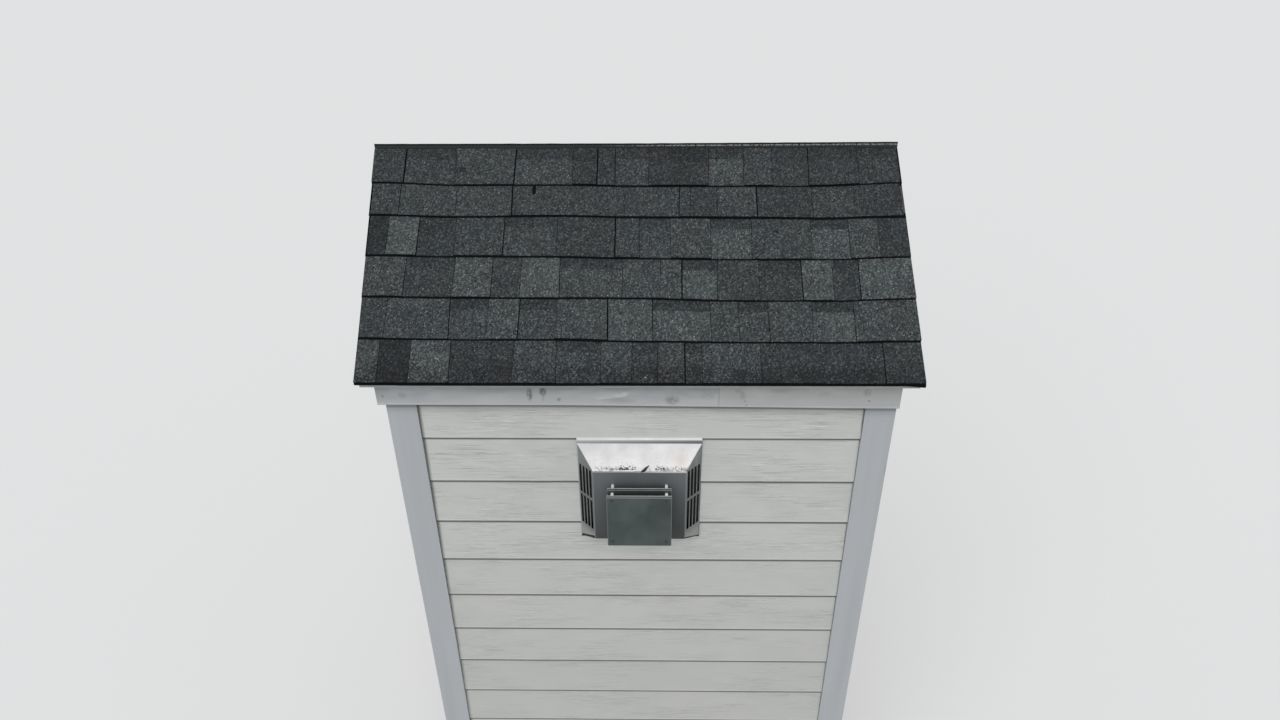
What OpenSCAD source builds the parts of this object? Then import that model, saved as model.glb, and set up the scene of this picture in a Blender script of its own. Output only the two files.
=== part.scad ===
// Shed-roofed bump-out of a house wall, which boxes in a gas fireplace, with a direct-vent cap on its front.
// X runs to the right along the house wall, Y runs into the house and Z runs up.
// The origin is on the ground, at the middle of the bump-out, in the plane of the house wall.
// All sizes are in millimetres, and the bump-out is cut off flat where it meets the house wall.

/* [Framing] */
// Width over the framing of the two side walls
frame_w = 1524; // [1400:1:1800]
// Depth from the house wall to the front of the framing
frame_d = 567; // [520:1:640]
// Thickness of a stud, plate, rafter or ledger
stud_t = 38; // [32:1:45]
// Depth of a stud, plate or rafter
stud_d = 89; // [75:1:110]
// Height of the wall framing with its plates
wall_h = 2702; // [2600:1:3000]
// Height of the ledger on the house wall
ledger_h = 140; // [89:1:235]
// Thickness of the wall sheathing
sheathing_t = 11; // [9:0.5:15]
// Height of the concrete slab above the ground
slab_h = 203; // [100:1:300]

/* [Siding and trim] */
// Height that each siding board shows
lap_exposure = 177.8; // [100:0.1:250]
// Height of each siding board, with the part under the next one
board_h = 210; // [180:1:300]
// Thickness of a siding board
board_t = 8; // [6:0.5:12]
// Distance that the siding reaches down over the slab
siding_drop = 11; // [0:1:40]
// Width of a corner board on the front
corner_w = 95; // [70:1:140]
// Thickness of the corner boards and side friezes
trim_t = 22; // [18:1:30]
// Gap between the siding and a corner board
caulk_gap = 1; // [0.5:0.5:4]
// Reach of the rafter ends beyond the framing
eave_over = 43; // [40:1:250]
// Thickness of the fascia
fascia_t = 20; // [15:1:30]
// Drop of the fascia below the soffit
fascia_drop = 6; // [0:1:20]
// Reach of the fascia beyond the left corner board
fascia_reach = 16; // [0:1:40]
// Thickness of the soffit panel
soffit_t = 8; // [5:1:15]
// Drop of the rafters' level cut below the top of the plates
tail_drop = 60; // [40:1:90]

/* [Roof] */
// Angle of the roof above level, in degrees, which is 9 of rise in 12 of run
roof_angle = 36.87; // [27:0.01:40]
// Height of the rafters' upper edge above the plates, at the front of the framing
rafter_stand = 80; // [70:1:110]
// Thickness of the roof deck
deck_t = 11; // [9:0.5:20]
// Reach of the deck beyond the fascia
deck_over = 19; // [5:1:60]
// Reach of the deck beyond the right corner board, at the eave
rake_over_right = 44; // [30:1:120]
// Reach of the deck beyond the left corner board, at the eave
rake_over_left = 51; // [30:1:120]
// Distance that the roof's left end runs outward from the eave to the house wall
left_flare = 24; // [0:1:80]
// Distance that the roof's right end runs inward from the eave to the house wall
right_taper = 12; // [0:1:25]
// Thickness of the metal roof edges and flashings
edge_t = 1; // [0.5:0.1:2]
// Height of the metal face on the roof's sloping ends
edge_face = 28; // [20:1:60]
// Height of the metal face on the eave
eave_face = 20; // [14:1:60]
// Width of the metal flange between deck and shingles
edge_flange = 40; // [25:1:80]
// Height that each regular shingle course shows along the slope
course_exposure = 142; // [125:1:150]
// Height that the narrower fifth course shows
narrow_exposure = 110; // [90:1:142]
// Thickness of a shingle
shingle_t = 5; // [3:0.5:8]
// Height of a shingle's lower edge above the deck
shingle_lift = 7.1; // [6:0.1:12]
// Thickness of the raised tabs of a laminated shingle
tab_t = 3; // [1.5:0.5:4]
// Reach of the shingles beyond the deck
shingle_over = 12; // [5:1:25]
// Width of the starter strip under the first course
starter_w = 120; // [60:1:130]
// Height of the flashing's upstand above the last course
upstand_h = 10; // [6:1:100]
// Width of the flashing's leg under the last course
flashing_leg = 75; // [40:1:100]

/* [Vent cap] */
// Place of the vent, from the middle of the bump-out
vent_x = -4; // [-100:1:100]
// Height of the vent pipe above the ground
vent_z = 2450; // [2000:1:2500]
// Framed opening round the vent pipe
vent_opening = 254; // [220:1:300]
// Width of the cap at the wall
cap_rear_w = 400; // [360:1:460]
// Width of the cap's front
cap_front_w = 304; // [280:1:340]
// Distance of the cap's front from its mounting plate
cap_proj = 48; // [35:1:90]
// Top of the cap at the wall, above the pipe
cap_rear_up = 211; // [180:1:240]
// Bottom of the cap at the wall, below the pipe
cap_rear_down = 182; // [170:1:220]
// Top of the cap's front, above the pipe
cap_front_up = 142; // [130:1:170]
// Bottom of the cap's front, below the pipe
cap_front_down = 153; // [125:1:165]
// Thickness of the cap's sheet metal
sheet_t = 1.2; // [0.8:0.1:2]
// Height of the hem that the cap's top turns down over its front
hem_h = 8; // [4:1:15]
// Number of slots across a side grille
slot_count = 4; // [3:1:5]
// Width of the metal bars between the slots
slot_bar = 5.5; // [4:0.5:8]
// Width of the bar between the two rows of slots
slot_mid_bar = 12; // [8:1:25]
// Plain band above the upper slots, at the front of the grille
slot_top_band = 7; // [5:1:20]
// Plain band below the lower slots, at the front of the grille
slot_bottom_band = 37; // [10:1:60]
// Height of the middle bar above the pipe
slot_mid_up = 14; // [-20:1:40]
// Width of a heat shield
shield_w = 208; // [180:1:230]
// Height of a heat shield
shield_h = 208; // [180:1:230]
// Top of the shields above the pipe
shield_up = 96; // [80:1:110]
// Depth of the edges turned back round a shield
shield_edge = 7; // [4:1:12]
// Length of the spacers behind the inner shield
spacer_inner = 39; // [25:1:60]
// Length of the spacers between the shields
spacer_outer = 35; // [20:1:60]
// Radius of a spacer
spacer_r = 5; // [3:0.5:7]
// Distance of the spacers from a shield's edges
spacer_inset = 17; // [13:1:30]
// Radius of the screw heads on the outer shield
head_r = 4.5; // [3:0.5:7]
// Thickness of the screw heads
head_t = 2; // [1:0.5:4]
// Inner radius of the flue collar
flue_r = 51; // [40:0.5:60]
// Inner radius of the air collar
air_r = 83; // [75:0.5:95]
// Wall of the two collars
collar_t = 1; // [0.6:0.1:2]
// Reach of the collars past the back of the studs
collar_reach = 38; // [10:1:100]
// Reach of the flue collar into the cap
flue_reach = 20; // [5:1:30]

/* [Hidden] */

// Clearance between solids of one node, and between pieces that must not touch
gap = 0.5;
// Clearance of a piece that rests on an uneven surface
seat = 0.3;
// Radial clearance of the wall's holes round the air collar
hole_gap = 6;
// Number of sides that stand for a round edge
round_fn = 64;
// Length that takes a cut well past what it cuts
over = 10;

concrete = [0.62, 0.61, 0.58];
lumber = [0.80, 0.68, 0.48];
board = [0.72, 0.58, 0.38];
siding_grey = [0.70, 0.71, 0.68];
trim_grey = [0.68, 0.70, 0.72];
shingle_grey = [0.25, 0.25, 0.27];
dark_metal = [0.22, 0.22, 0.23];
pale_metal = [0.80, 0.80, 0.78];
vent_grey = [0.42, 0.43, 0.43];
shield_grey = [0.32, 0.35, 0.35];
white = [0.88, 0.88, 0.86];

half_w = frame_w / 2;
sheath_x = half_w + sheathing_t;
sheath_y = -(frame_d + sheathing_t);
trim_x = sheath_x + trim_t;
trim_y = sheath_y - trim_t;
stud_back = -(frame_d - stud_d);
plate_top = slab_h + wall_h;
tail_z = plate_top - tail_drop;
soffit_z = tail_z - soffit_t;
siding_z = slab_h - siding_drop;
lap_out = 2 * board_t;
lap_in = 2 * board_t - board_t * lap_exposure / board_h;
siding_y = sheath_y - lap_out;

slope = tan(roof_angle);
rafter_v = stud_d / cos(roof_angle);
deck_v = deck_t / cos(roof_angle);
edge_v = edge_t / cos(roof_angle);
tail_y = -(frame_d + eave_over);
fascia_y = tail_y - fascia_t;
deck_y = fascia_y - deck_over;
deck_right = trim_x + rake_over_right;
deck_left = trim_x + rake_over_left;
shingle_right = deck_right + shingle_over;
shingle_left = deck_left + left_flare + shingle_over;
roof_len = -deck_y / cos(roof_angle);
regular_courses = 4;
exposures = [for (i = [1 : regular_courses]) course_exposure,
    narrow_exposure,
    roof_len + shingle_over - regular_courses * course_exposure - narrow_exposure];
lean = shingle_t / course_exposure;
tab_count = 9;
tab_pitch = (shingle_left + shingle_right) / tab_count;

stud_x = half_w - stud_t / 2;
vent_stud = (vent_opening + stud_t) / 2;
opening_low = vent_z - vent_opening / 2;
opening_high = vent_z + vent_opening / 2;
plate_edge = 1;
plate_rise = 26;
plate_drop = 6;
lip_out = 7;
lip_drop = 10;
plate_y = siding_y - sheet_t;
cap_y = plate_y - cap_proj;
cap_face_y = cap_y - sheet_t;
side_run = (cap_rear_w - cap_front_w) / 2;
side_len = norm([side_run, cap_proj]);
side_turn = atan2(side_run, cap_proj);
slot_w = (side_len - (slot_count + 1) * slot_bar) / slot_count;
inner_y = cap_face_y - spacer_inner;
outer_y = inner_y - sheet_t - spacer_outer;
wall_hole_r = air_r + collar_t + hole_gap;
collar_end = stud_back + collar_reach;
leg_count = 3;
leg_len = 20;

// Height of the rafters' upper edge at depth y
function roof_z(y) = plate_top + rafter_stand + (y + frame_d) * slope;
// Depth at which the rafters' lower edge reaches height z
function under_y(z) = (z + rafter_v - plate_top - rafter_stand) / slope - frame_d;
// Point u up the slope from the deck's lower edge and n out from the deck's face, as depth and height
function roof_point(u, n) = [
    deck_y + u * cos(roof_angle) - n * sin(roof_angle),
    roof_z(deck_y) + deck_v + u * sin(roof_angle) + n * cos(roof_angle)];
// Distance up the slope of the lower edge of course i, from 0
function course_start(i) = i == 0 ? -shingle_over : course_start(i - 1) + exposures[i - 1];

// Height of the lower edge of course i, which rests on the course below
function course_lift(i) =
    i == 0 ? shingle_lift : course_lift(i - 1) + shingle_t - lean * exposures[i - 1];

// Solid from x0 to x1 with an outline of depth and height
module along_x(x0, x1, outline) {
    translate([x0, 0, 0])
        rotate([90, 0, 90])
            linear_extrude(height = x1 - x0)
                polygon(outline);
}

// Block between two corners
module block(low, high) {
    translate(low)
        cube(high - low);
}

// Band along the roof with plumb ends, between two heights above the rafters
module roof_band(x0, x1, y0, y1, low, high) {
    along_x(x0, x1, [
        [y0, roof_z(y0) + low], [y1, roof_z(y1) + low],
        [y1, roof_z(y1) + high], [y0, roof_z(y0) + high]]);
}

// Moves what is drawn with its X along the eave and its Y up the slope onto the deck's face
module on_roof() {
    translate([0, deck_y, roof_z(deck_y) + deck_v])
        rotate([roof_angle, 0, 0])
            children();
}

// Keeps what is drawn within the roof's outline, moved outward all round
module within_roof(out) {
    low = -3 * over;
    high = roof_len + 3 * over;
    left = -deck_left - out;
    right = deck_right + out;
    intersection() {
        children();
        on_roof()
            translate([0, 0, -6 * over])
                linear_extrude(height = 12 * over)
                    polygon([
                        [left - left_flare * low / roof_len, low], [right - right_taper * low / roof_len, low],
                        [right - right_taper * high / roof_len, high],
                        [left - left_flare * high / roof_len, high]]);
    }
}

// Copy for the left side of what is drawn on the right
module on_left() {
    mirror([1, 0, 0])
        children();
}

// Saw-tooth section of lapped boards from z0 to z1, with its flat back on the first axis
module lap_section(z0, z1) {
    laps = ceil((z1 - z0) / lap_exposure);
    teeth = [for (i = [0 : laps - 1], edge = [0, 1])
        [edge == 0 ? lap_out : lap_in, z0 + (i + edge) * lap_exposure]];
    intersection() {
        polygon(concat([[0, z0]], teeth, [[0, z0 + laps * lap_exposure]]));
        translate([-over, z0])
            square([lap_out + 2 * over, z1 - z0]);
    }
}

// Bar across the wall's depth for a side wall on the right
module side_bar(y0, y1, z0, z1) {
    block([half_w - stud_d, y0, z0], [half_w, y1, z1]);
}

// Concrete slab that the walls stand on
module slab() {
    color(concrete)
        block([-sheath_x, sheath_y, 0], [sheath_x, 0, slab_h]);
}

// Plates of the three walls between two heights
module wall_plates(z0, z1) {
    block([-half_w, -frame_d, z0], [half_w, stud_back, z1]);
    side_bar(stud_back + gap, 0, z0, z1);
    on_left()
        side_bar(stud_back + gap, 0, z0, z1);
}

module bottom_plates() {
    color(lumber)
        wall_plates(slab_h, slab_h + stud_t);
}

module top_plates() {
    color(lumber)
        wall_plates(plate_top - 2 * stud_t, plate_top);
}

// Studs of the front wall, with a pair beside the vent opening
module front_studs() {
    places = [-stud_x, -stud_x / 2, vent_x - vent_stud, vent_x + vent_stud, stud_x / 2, stud_x];
    color(lumber)
        for (x = places)
            block([x - stud_t / 2, -frame_d, slab_h + stud_t],
                [x + stud_t / 2, stud_back, plate_top - 2 * stud_t]);
}

// Studs of a side wall: one on the house wall and one halfway
module side_studs() {
    for (y = [-stud_t / 2, stud_back / 2])
        side_bar(y - stud_t / 2, y + stud_t / 2, slab_h + stud_t, plate_top - 2 * stud_t);
}

module left_studs() {
    color(lumber)
        on_left()
            side_studs();
}

module right_studs() {
    color(lumber)
        side_studs();
}

// Blocks above and below the vent opening
module vent_blocking() {
    color(lumber)
        for (z = [opening_low - stud_t, opening_high])
            block([vent_x - vent_opening / 2, -frame_d, z],
                [vent_x + vent_opening / 2, stud_back, z + stud_t]);
}

// Short studs of one side between the plates and the roof
module gable_pair() {
    block([half_w - stud_t, -stud_t, plate_top], [half_w, 0, roof_z(-stud_t) - ledger_h]);
    y0 = (stud_back - stud_d) / 2;
    y1 = (stud_back + stud_d) / 2;
    along_x(half_w - stud_t, half_w, [
        [y0, plate_top], [y1, plate_top],
        [y1, roof_z(y1) - rafter_v], [y0, roof_z(y0) - rafter_v]]);
}

module gable_studs() {
    color(lumber) {
        gable_pair();
        on_left()
            gable_pair();
    }
}

// Board on the house wall that carries the upper ends of the rafters
module ledger() {
    color(lumber)
        along_x(-half_w, half_w, [
            [-stud_t, roof_z(-stud_t) - ledger_h], [0, roof_z(-stud_t) - ledger_h],
            [0, roof_z(0)], [-stud_t, roof_z(-stud_t)]]);
}

// Rafters notched over the front plates, with a level cut at the eave
module rafters() {
    heel_z = roof_z(-frame_d) - rafter_v;
    tail = under_y(tail_z) > tail_y
        ? [[under_y(tail_z), tail_z], [tail_y, tail_z]]
        : [[tail_y, roof_z(tail_y) - rafter_v]];
    outline = concat([
        [tail_y, roof_z(tail_y)],
        [-stud_t, roof_z(-stud_t)], [-stud_t, roof_z(-stud_t) - rafter_v],
        [under_y(plate_top), plate_top], [-frame_d, plate_top],
        [-frame_d, heel_z]], tail);
    color(lumber)
        for (x = [-stud_x, -stud_x / 2, 0, stud_x / 2, stud_x])
            along_x(x - stud_t / 2, x + stud_t / 2, outline);
}

module roof_deck() {
    color(board)
        within_roof(0)
            roof_band(-shingle_left, shingle_right, deck_y, 0, 0, deck_v);
}

// Round hole through the front wall for the air collar
module wall_hole() {
    translate([vent_x, sheath_y - lap_out - over, vent_z])
        rotate([-90, 0, 0])
            cylinder(r = wall_hole_r, h = sheathing_t + lap_out + 2 * over, $fn = round_fn);
}

module sheathing_front() {
    color(board)
        difference() {
            block([-half_w, sheath_y, slab_h], [half_w, -frame_d, tail_z]);
            wall_hole();
        }
}

module side_sheathing() {
    along_x(half_w, sheath_x, [
        [sheath_y, slab_h], [0, slab_h], [0, roof_z(0)], [sheath_y, roof_z(sheath_y)]]);
}

module sheathing_left() {
    color(board)
        on_left()
            side_sheathing();
}

module sheathing_right() {
    color(board)
        side_sheathing();
}

// Lapped siding between the corner boards
module siding_front() {
    reach = trim_x - corner_w - caulk_gap;
    color(siding_grey)
        difference() {
            translate([-reach, sheath_y, 0])
                rotate([90, 0, 90])
                    linear_extrude(height = 2 * reach)
                        mirror([1, 0])
                            lap_section(siding_z, soffit_z - gap);
            wall_hole();
        }
}

// Lapped siding of the right side, between the corner board and the house wall, under the frieze
module side_siding() {
    front_y = trim_y + corner_w + caulk_gap;
    peak_z = roof_z(0) - rafter_v - gap;
    intersection() {
        translate([sheath_x, 0, 0])
            rotate([90, 0, 0])
                linear_extrude(height = -front_y)
                    lap_section(siding_z, peak_z);
        along_x(sheath_x - over, sheath_x + lap_out + over, [
            [front_y, siding_z - over], [0, siding_z - over], [0, peak_z],
            [front_y, roof_z(front_y) - rafter_v - gap]]);
    }
}

module siding_left() {
    color(siding_grey)
        on_left()
            side_siding();
}

module siding_right() {
    color(siding_grey)
        side_siding();
}

// Corner board of the right side: a leg on the front under the soffit and a leg on the side
module corner_board() {
    side_y = trim_y + corner_w;
    block([trim_x - corner_w, trim_y, siding_z], [sheath_x, sheath_y, soffit_z]);
    along_x(sheath_x, trim_x, [
        [trim_y, siding_z], [side_y, siding_z],
        [side_y, roof_z(side_y) - rafter_v - gap], [trim_y, roof_z(trim_y) - rafter_v - gap]]);
}

module corner_board_left() {
    color(trim_grey)
        on_left()
            corner_board();
}

module corner_board_right() {
    color(trim_grey)
        corner_board();
}

// Sloping board at the top of the right side, which also closes the end of the eave
// and is cut away over the corner board
module side_frieze() {
    foot_z = soffit_z - fascia_drop;
    cut_y = max(trim_y - gap, under_y(foot_z));
    along_x(sheath_x, trim_x, [
        [tail_y, foot_z], [cut_y, foot_z], [cut_y, roof_z(cut_y) - rafter_v], [0, roof_z(0) - rafter_v],
        [0, roof_z(0)], [tail_y, roof_z(tail_y)]]);
}

module side_frieze_left() {
    color(trim_grey)
        on_left()
            side_frieze();
}

module side_frieze_right() {
    color(trim_grey)
        side_frieze();
}

// Board across the rafter ends, bevelled under the deck
module fascia() {
    color(trim_grey)
        along_x(-trim_x - fascia_reach, trim_x, [
            [fascia_y, soffit_z - fascia_drop], [tail_y, soffit_z - fascia_drop],
            [tail_y, roof_z(tail_y)], [fascia_y, roof_z(fascia_y)]]);
}

module soffit() {
    color(trim_grey)
        block([-sheath_x, tail_y, soffit_z], [sheath_x, sheath_y, tail_z]);
}

// Metal angle on the eave: a flange on the deck and a face over the top of the fascia
module drip_edge() {
    face_y = deck_y - edge_t;
    inset = edge_flange + gap;
    face_low = roof_z(deck_y) + deck_v - eave_face;
    color(pale_metal)
        union() {
            roof_band(inset - deck_left, deck_right - inset, deck_y, deck_y + edge_flange,
                deck_v, deck_v + edge_v);
            along_x(-deck_left - edge_t, deck_right + edge_t, [
                [face_y, face_low], [deck_y, face_low],
                [deck_y, roof_z(deck_y) + deck_v + edge_v], [face_y, roof_z(face_y) + deck_v + edge_v]]);
        }
}

// Metal angle on the right end of the roof, drawn along the slope from its lower corner and cut plumb
// at its ends, which runs outward by a flare on its way up
module rake_edge(corner_x, flare) {
    len = roof_len + 2 * edge_face;
    turn = atan(flare / roof_len);
    section = [
        [-edge_flange, 0], [0, 0], [0, -edge_face],
        [edge_t, -edge_face], [edge_t, edge_t], [-edge_flange, edge_t]];
    intersection() {
        on_roof()
            translate([corner_x, 0, 0])
                rotate([0, 0, -turn])
                    translate([0, len, 0])
                        rotate([90, 0, 0])
                            linear_extrude(height = len + 2 * edge_face)
                                polygon(section);
        block([0, deck_y + gap, 0], [shingle_left + over, 0, roof_z(0) + len]);
    }
}

module rake_edge_left() {
    color(dark_metal)
        on_left()
            rake_edge(deck_left, left_flare);
}

module rake_edge_right() {
    color(dark_metal)
        rake_edge(deck_right, -right_taper);
}

// Strip under the first course, which lifts its lower edge
module starter_strip() {
    start = course_start(0);
    end_lift = shingle_lift - lean * starter_w;
    color(shingle_grey)
        within_roof(shingle_over)
            along_x(-shingle_left, shingle_right + over, [
                roof_point(start, edge_t), roof_point(start + starter_w, edge_t),
                roof_point(start + starter_w, edge_t + end_lift), roof_point(start, edge_t + shingle_lift)]);
}

// Course i of laminated shingles: a slab that leans on the course below, with raised tabs where it shows
// that start from the middle of its thickness. It ends just in front of the flashing's upstand.
module shingle_course(i) {
    show = exposures[i];
    start = course_start(i);
    lift = edge_t + course_lift(i);
    len = course_lift(i) / lean;
    tab_len = i == len(exposures) - 1 ? show + over : show - gap;
    tab_lift = lift - lean * tab_len;
    chances = rands(0, 1, 2 * tab_count, 40 + i);
    color(shingle_grey)
        within_roof(shingle_over)
            intersection() {
                union() {
                    along_x(-shingle_left, shingle_right + over, [
                        roof_point(start, lift), roof_point(start + len, edge_t),
                        roof_point(start + len, edge_t + shingle_t), roof_point(start, lift + shingle_t)]);
                    for (k = [0 : tab_count - 1]) {
                        x0 = -shingle_left + (k + 0.05 + 0.25 * chances[2 * k]) * tab_pitch;
                        x1 = x0 + (0.35 + 0.3 * chances[2 * k + 1]) * tab_pitch;
                        along_x(x0, x1, [
                            roof_point(start, lift + shingle_t / 2),
                            roof_point(start + tab_len, tab_lift + shingle_t / 2),
                            roof_point(start + tab_len, tab_lift + shingle_t + tab_t),
                            roof_point(start, lift + shingle_t + tab_t)]);
                    }
                }
                block([-shingle_left - over, deck_y - 10 * over, plate_top - 20 * over],
                    [shingle_right + 2 * over, -edge_t - gap, roof_z(0) + 20 * over]);
            }
}

module shingle_course_1() { shingle_course(0); }
module shingle_course_2() { shingle_course(1); }
module shingle_course_3() { shingle_course(2); }
module shingle_course_4() { shingle_course(3); }
module shingle_course_5() { shingle_course(4); }
module shingle_course_6() { shingle_course(5); }

// Metal angle with its leg on the deck, under the last course, and its upstand against the house wall
module head_flashing() {
    last = len(exposures) - 1;
    high_n = edge_t + course_lift(last) - lean * (roof_len - course_start(last)) + shingle_t + tab_t;
    leg_z = roof_z(0) + deck_v + edge_v;
    top_z = roof_z(0) + deck_v + high_n / cos(roof_angle) + upstand_h;
    color(dark_metal)
        union() {
            within_roof(-edge_flange - gap)
                roof_band(-deck_left - left_flare, deck_right, -flashing_leg, 0, deck_v, deck_v + edge_v);
            within_roof(shingle_over)
                along_x(-shingle_left - over, shingle_right, [
                    [-edge_t, leg_z - edge_v / 2], [0, leg_z - edge_v / 2], [0, top_z], [-edge_t, top_z]]);
        }
}

// Moves what is drawn round the pipe's centre at depth y to its place on the wall
module at_vent(y) {
    translate([vent_x, y, vent_z])
        children();
}

// Plate that the cap is fixed to, with a sloping rain lip along its top
module vent_plate() {
    half = cap_rear_w / 2 + plate_edge;
    high = cap_rear_up + plate_rise;
    color(pale_metal)
        at_vent(siding_y)
            union() {
                difference() {
                    block([-half, -sheet_t, -cap_rear_down - plate_drop], [half, 0, high]);
                    rotate([90, 0, 0])
                        cylinder(r = air_r, h = 2 * over, center = true, $fn = round_fn);
                }
                along_x(-half, half, [
                    [-sheet_t / 2, high - 2 * sheet_t], [-sheet_t / 2, high],
                    [-sheet_t - lip_out, high - lip_drop], [-sheet_t - lip_out, high - lip_drop - 2 * sheet_t]]);
            }
}

// Height of the cap's sloping top and bottom at depth y, from the pipe
function cap_top(y) = cap_front_up + (cap_rear_up - cap_front_up) * (y - cap_y) / cap_proj;
function cap_bottom(y) = -cap_front_down - (cap_rear_down - cap_front_down) * (y - cap_y) / cap_proj;

// Sheet of the cap with an outline of depth and height, cut to the plan of the cap's splayed sides
module cap_sheet(outline) {
    rear = cap_rear_w / 2;
    front = cap_front_w / 2;
    at_vent(0)
        intersection() {
            along_x(-rear, rear, outline);
            translate([0, 0, -cap_rear_down - over])
                linear_extrude(height = cap_rear_down + cap_rear_up + 2 * over)
                    polygon([
                        [-rear, plate_y], [rear, plate_y], [front, cap_y], [front, cap_y - over],
                        [-front, cap_y - over], [-front, cap_y]]);
        }
}

// Sloping top of the cap, with a hem that hangs in front of the front sheet
module vent_top() {
    sheet_v = sheet_t * norm([cap_proj, cap_rear_up - cap_front_up]) / cap_proj;
    hem_in = cap_face_y - gap;
    hem_out = hem_in - sheet_t;
    color(pale_metal)
        cap_sheet([
            [plate_y, cap_rear_up], [hem_in, cap_top(hem_in)],
            [hem_in, cap_front_up - hem_h], [hem_out, cap_front_up - hem_h],
            [hem_out, cap_top(hem_out) + sheet_v], [plate_y, cap_rear_up + sheet_v]]);
}

// Sloping underside of the cap
module vent_bottom() {
    color(vent_grey)
        cap_sheet([
            [plate_y, -cap_rear_down], [cap_y, -cap_front_down],
            [cap_y, -cap_front_down - sheet_t], [plate_y, -cap_rear_down - sheet_t]]);
}

// Flat front sheet of the cap, between its top and its underside
module vent_front() {
    color(vent_grey)
        at_vent(cap_y)
            block([-cap_front_w / 2, -sheet_t, -cap_front_down - sheet_t],
                [cap_front_w / 2, 0, cap_top(cap_face_y) - gap]);
}

// Height at distance s along a side of the cap, on an edge between its heights at the wall and in front
function side_z(s, rear, front) = rear + (front - rear) * s / side_len;

// Right side of the cap: a splayed sheet with two rows of slots
module vent_grille() {
    mid_low = slot_mid_up - slot_mid_bar / 2;
    mid_high = slot_mid_up + slot_mid_bar / 2;
    slot_low = slot_bottom_band - cap_front_down;
    slot_high = cap_front_up - slot_top_band;
    rear = sheet_t * tan(side_turn) + seat;
    at_vent(0)
        translate([cap_rear_w / 2, plate_y, 0])
            rotate([0, 0, -90 - side_turn])
                rotate([90, 0, 0])
                    difference() {
                        linear_extrude(height = sheet_t)
                            polygon([
                                [rear, side_z(rear, -cap_rear_down, -cap_front_down) + gap],
                                [side_len, gap - cap_front_down],
                                [side_len, cap_front_up - gap],
                                [rear, side_z(rear, cap_rear_up, cap_front_up) - gap]]);
                        for (i = [0 : slot_count - 1], row = [[slot_low, mid_low], [mid_high, slot_high]])
                            translate([slot_bar + i * (slot_w + slot_bar), row[0], -over])
                                cube([slot_w, row[1] - row[0], sheet_t + 2 * over]);
                    }
}

module vent_grille_left() {
    color(vent_grey)
        translate([2 * vent_x, 0, 0])
            on_left()
                vent_grille();
}

module vent_grille_right() {
    color(vent_grey)
        vent_grille();
}

// Shallow pan with its edges turned back, and its face at depth y
module shield(y) {
    half = shield_w / 2;
    low = shield_up - shield_h;
    at_vent(y)
        difference() {
            block([-half, -sheet_t, low], [half, shield_edge, shield_up]);
            block([sheet_t - half, 0, low + sheet_t], [half - sheet_t, shield_edge + over, shield_up - sheet_t]);
        }
}

module shield_inner() {
    color(shield_grey)
        shield(inner_y);
}

module shield_outer() {
    color(shield_grey)
        shield(outer_y);
}

// Spacers from the cap's front to the inner shield, and from there to the outer one with its screw heads
module shield_spacers() {
    low = shield_up - shield_h + spacer_inset;
    high = shield_up - spacer_inset;
    side = shield_w / 2 - spacer_inset;
    color(white)
        for (x = [-side, side], z = [low, high]) {
            translate([vent_x + x, inner_y, vent_z + z])
                rotate([-90, 0, 0])
                    cylinder(r = spacer_r, h = spacer_inner, $fn = round_fn);
            translate([vent_x + x, outer_y, vent_z + z])
                rotate([-90, 0, 0])
                    cylinder(r = spacer_r, h = spacer_outer, $fn = round_fn);
            translate([vent_x + x, outer_y - sheet_t - head_t, vent_z + z])
                rotate([-90, 0, 0])
                    cylinder(r = head_r, h = head_t, $fn = round_fn);
        }
}

// Tube round the pipe's axis between two depths
module collar(radius, y0, y1) {
    at_vent(y0)
        rotate([-90, 0, 0])
            difference() {
                cylinder(r = radius + collar_t, h = y1 - y0, $fn = round_fn);
                translate([0, 0, -over])
                    cylinder(r = radius, h = y1 - y0 + 2 * over, $fn = round_fn);
            }
}

// Inner tube for the exhaust, held off the air collar by three legs
module flue_collar() {
    leg_in = flue_r + collar_t / 2;
    leg_out = air_r - gap;
    color(vent_grey)
        union() {
            collar(flue_r, plate_y - flue_reach, collar_end);
            for (i = [0 : leg_count - 1])
                at_vent(collar_end - 2 * leg_len)
                    rotate([0, 90 + i * 360 / leg_count, 0])
                        block([leg_in, 0, -collar_t], [leg_out, leg_len, collar_t]);
        }
}

module air_collar() {
    color(vent_grey)
        collar(air_r, siding_y, collar_end);
}

slab();
bottom_plates();
front_studs();
left_studs();
right_studs();
vent_blocking();
top_plates();
gable_studs();
ledger();
rafters();
roof_deck();
sheathing_front();
sheathing_left();
sheathing_right();
siding_front();
siding_left();
siding_right();
corner_board_left();
corner_board_right();
side_frieze_left();
side_frieze_right();
fascia();
soffit();
drip_edge();
rake_edge_left();
rake_edge_right();
starter_strip();
shingle_course_1();
shingle_course_2();
shingle_course_3();
shingle_course_4();
shingle_course_5();
shingle_course_6();
head_flashing();
vent_plate();
vent_top();
vent_bottom();
vent_front();
vent_grille_left();
vent_grille_right();
shield_inner();
shield_outer();
shield_spacers();
flue_collar();
air_collar();
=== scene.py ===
import math
import random

import bmesh
import bpy
from mathutils import Matrix, Vector, noise


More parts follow.
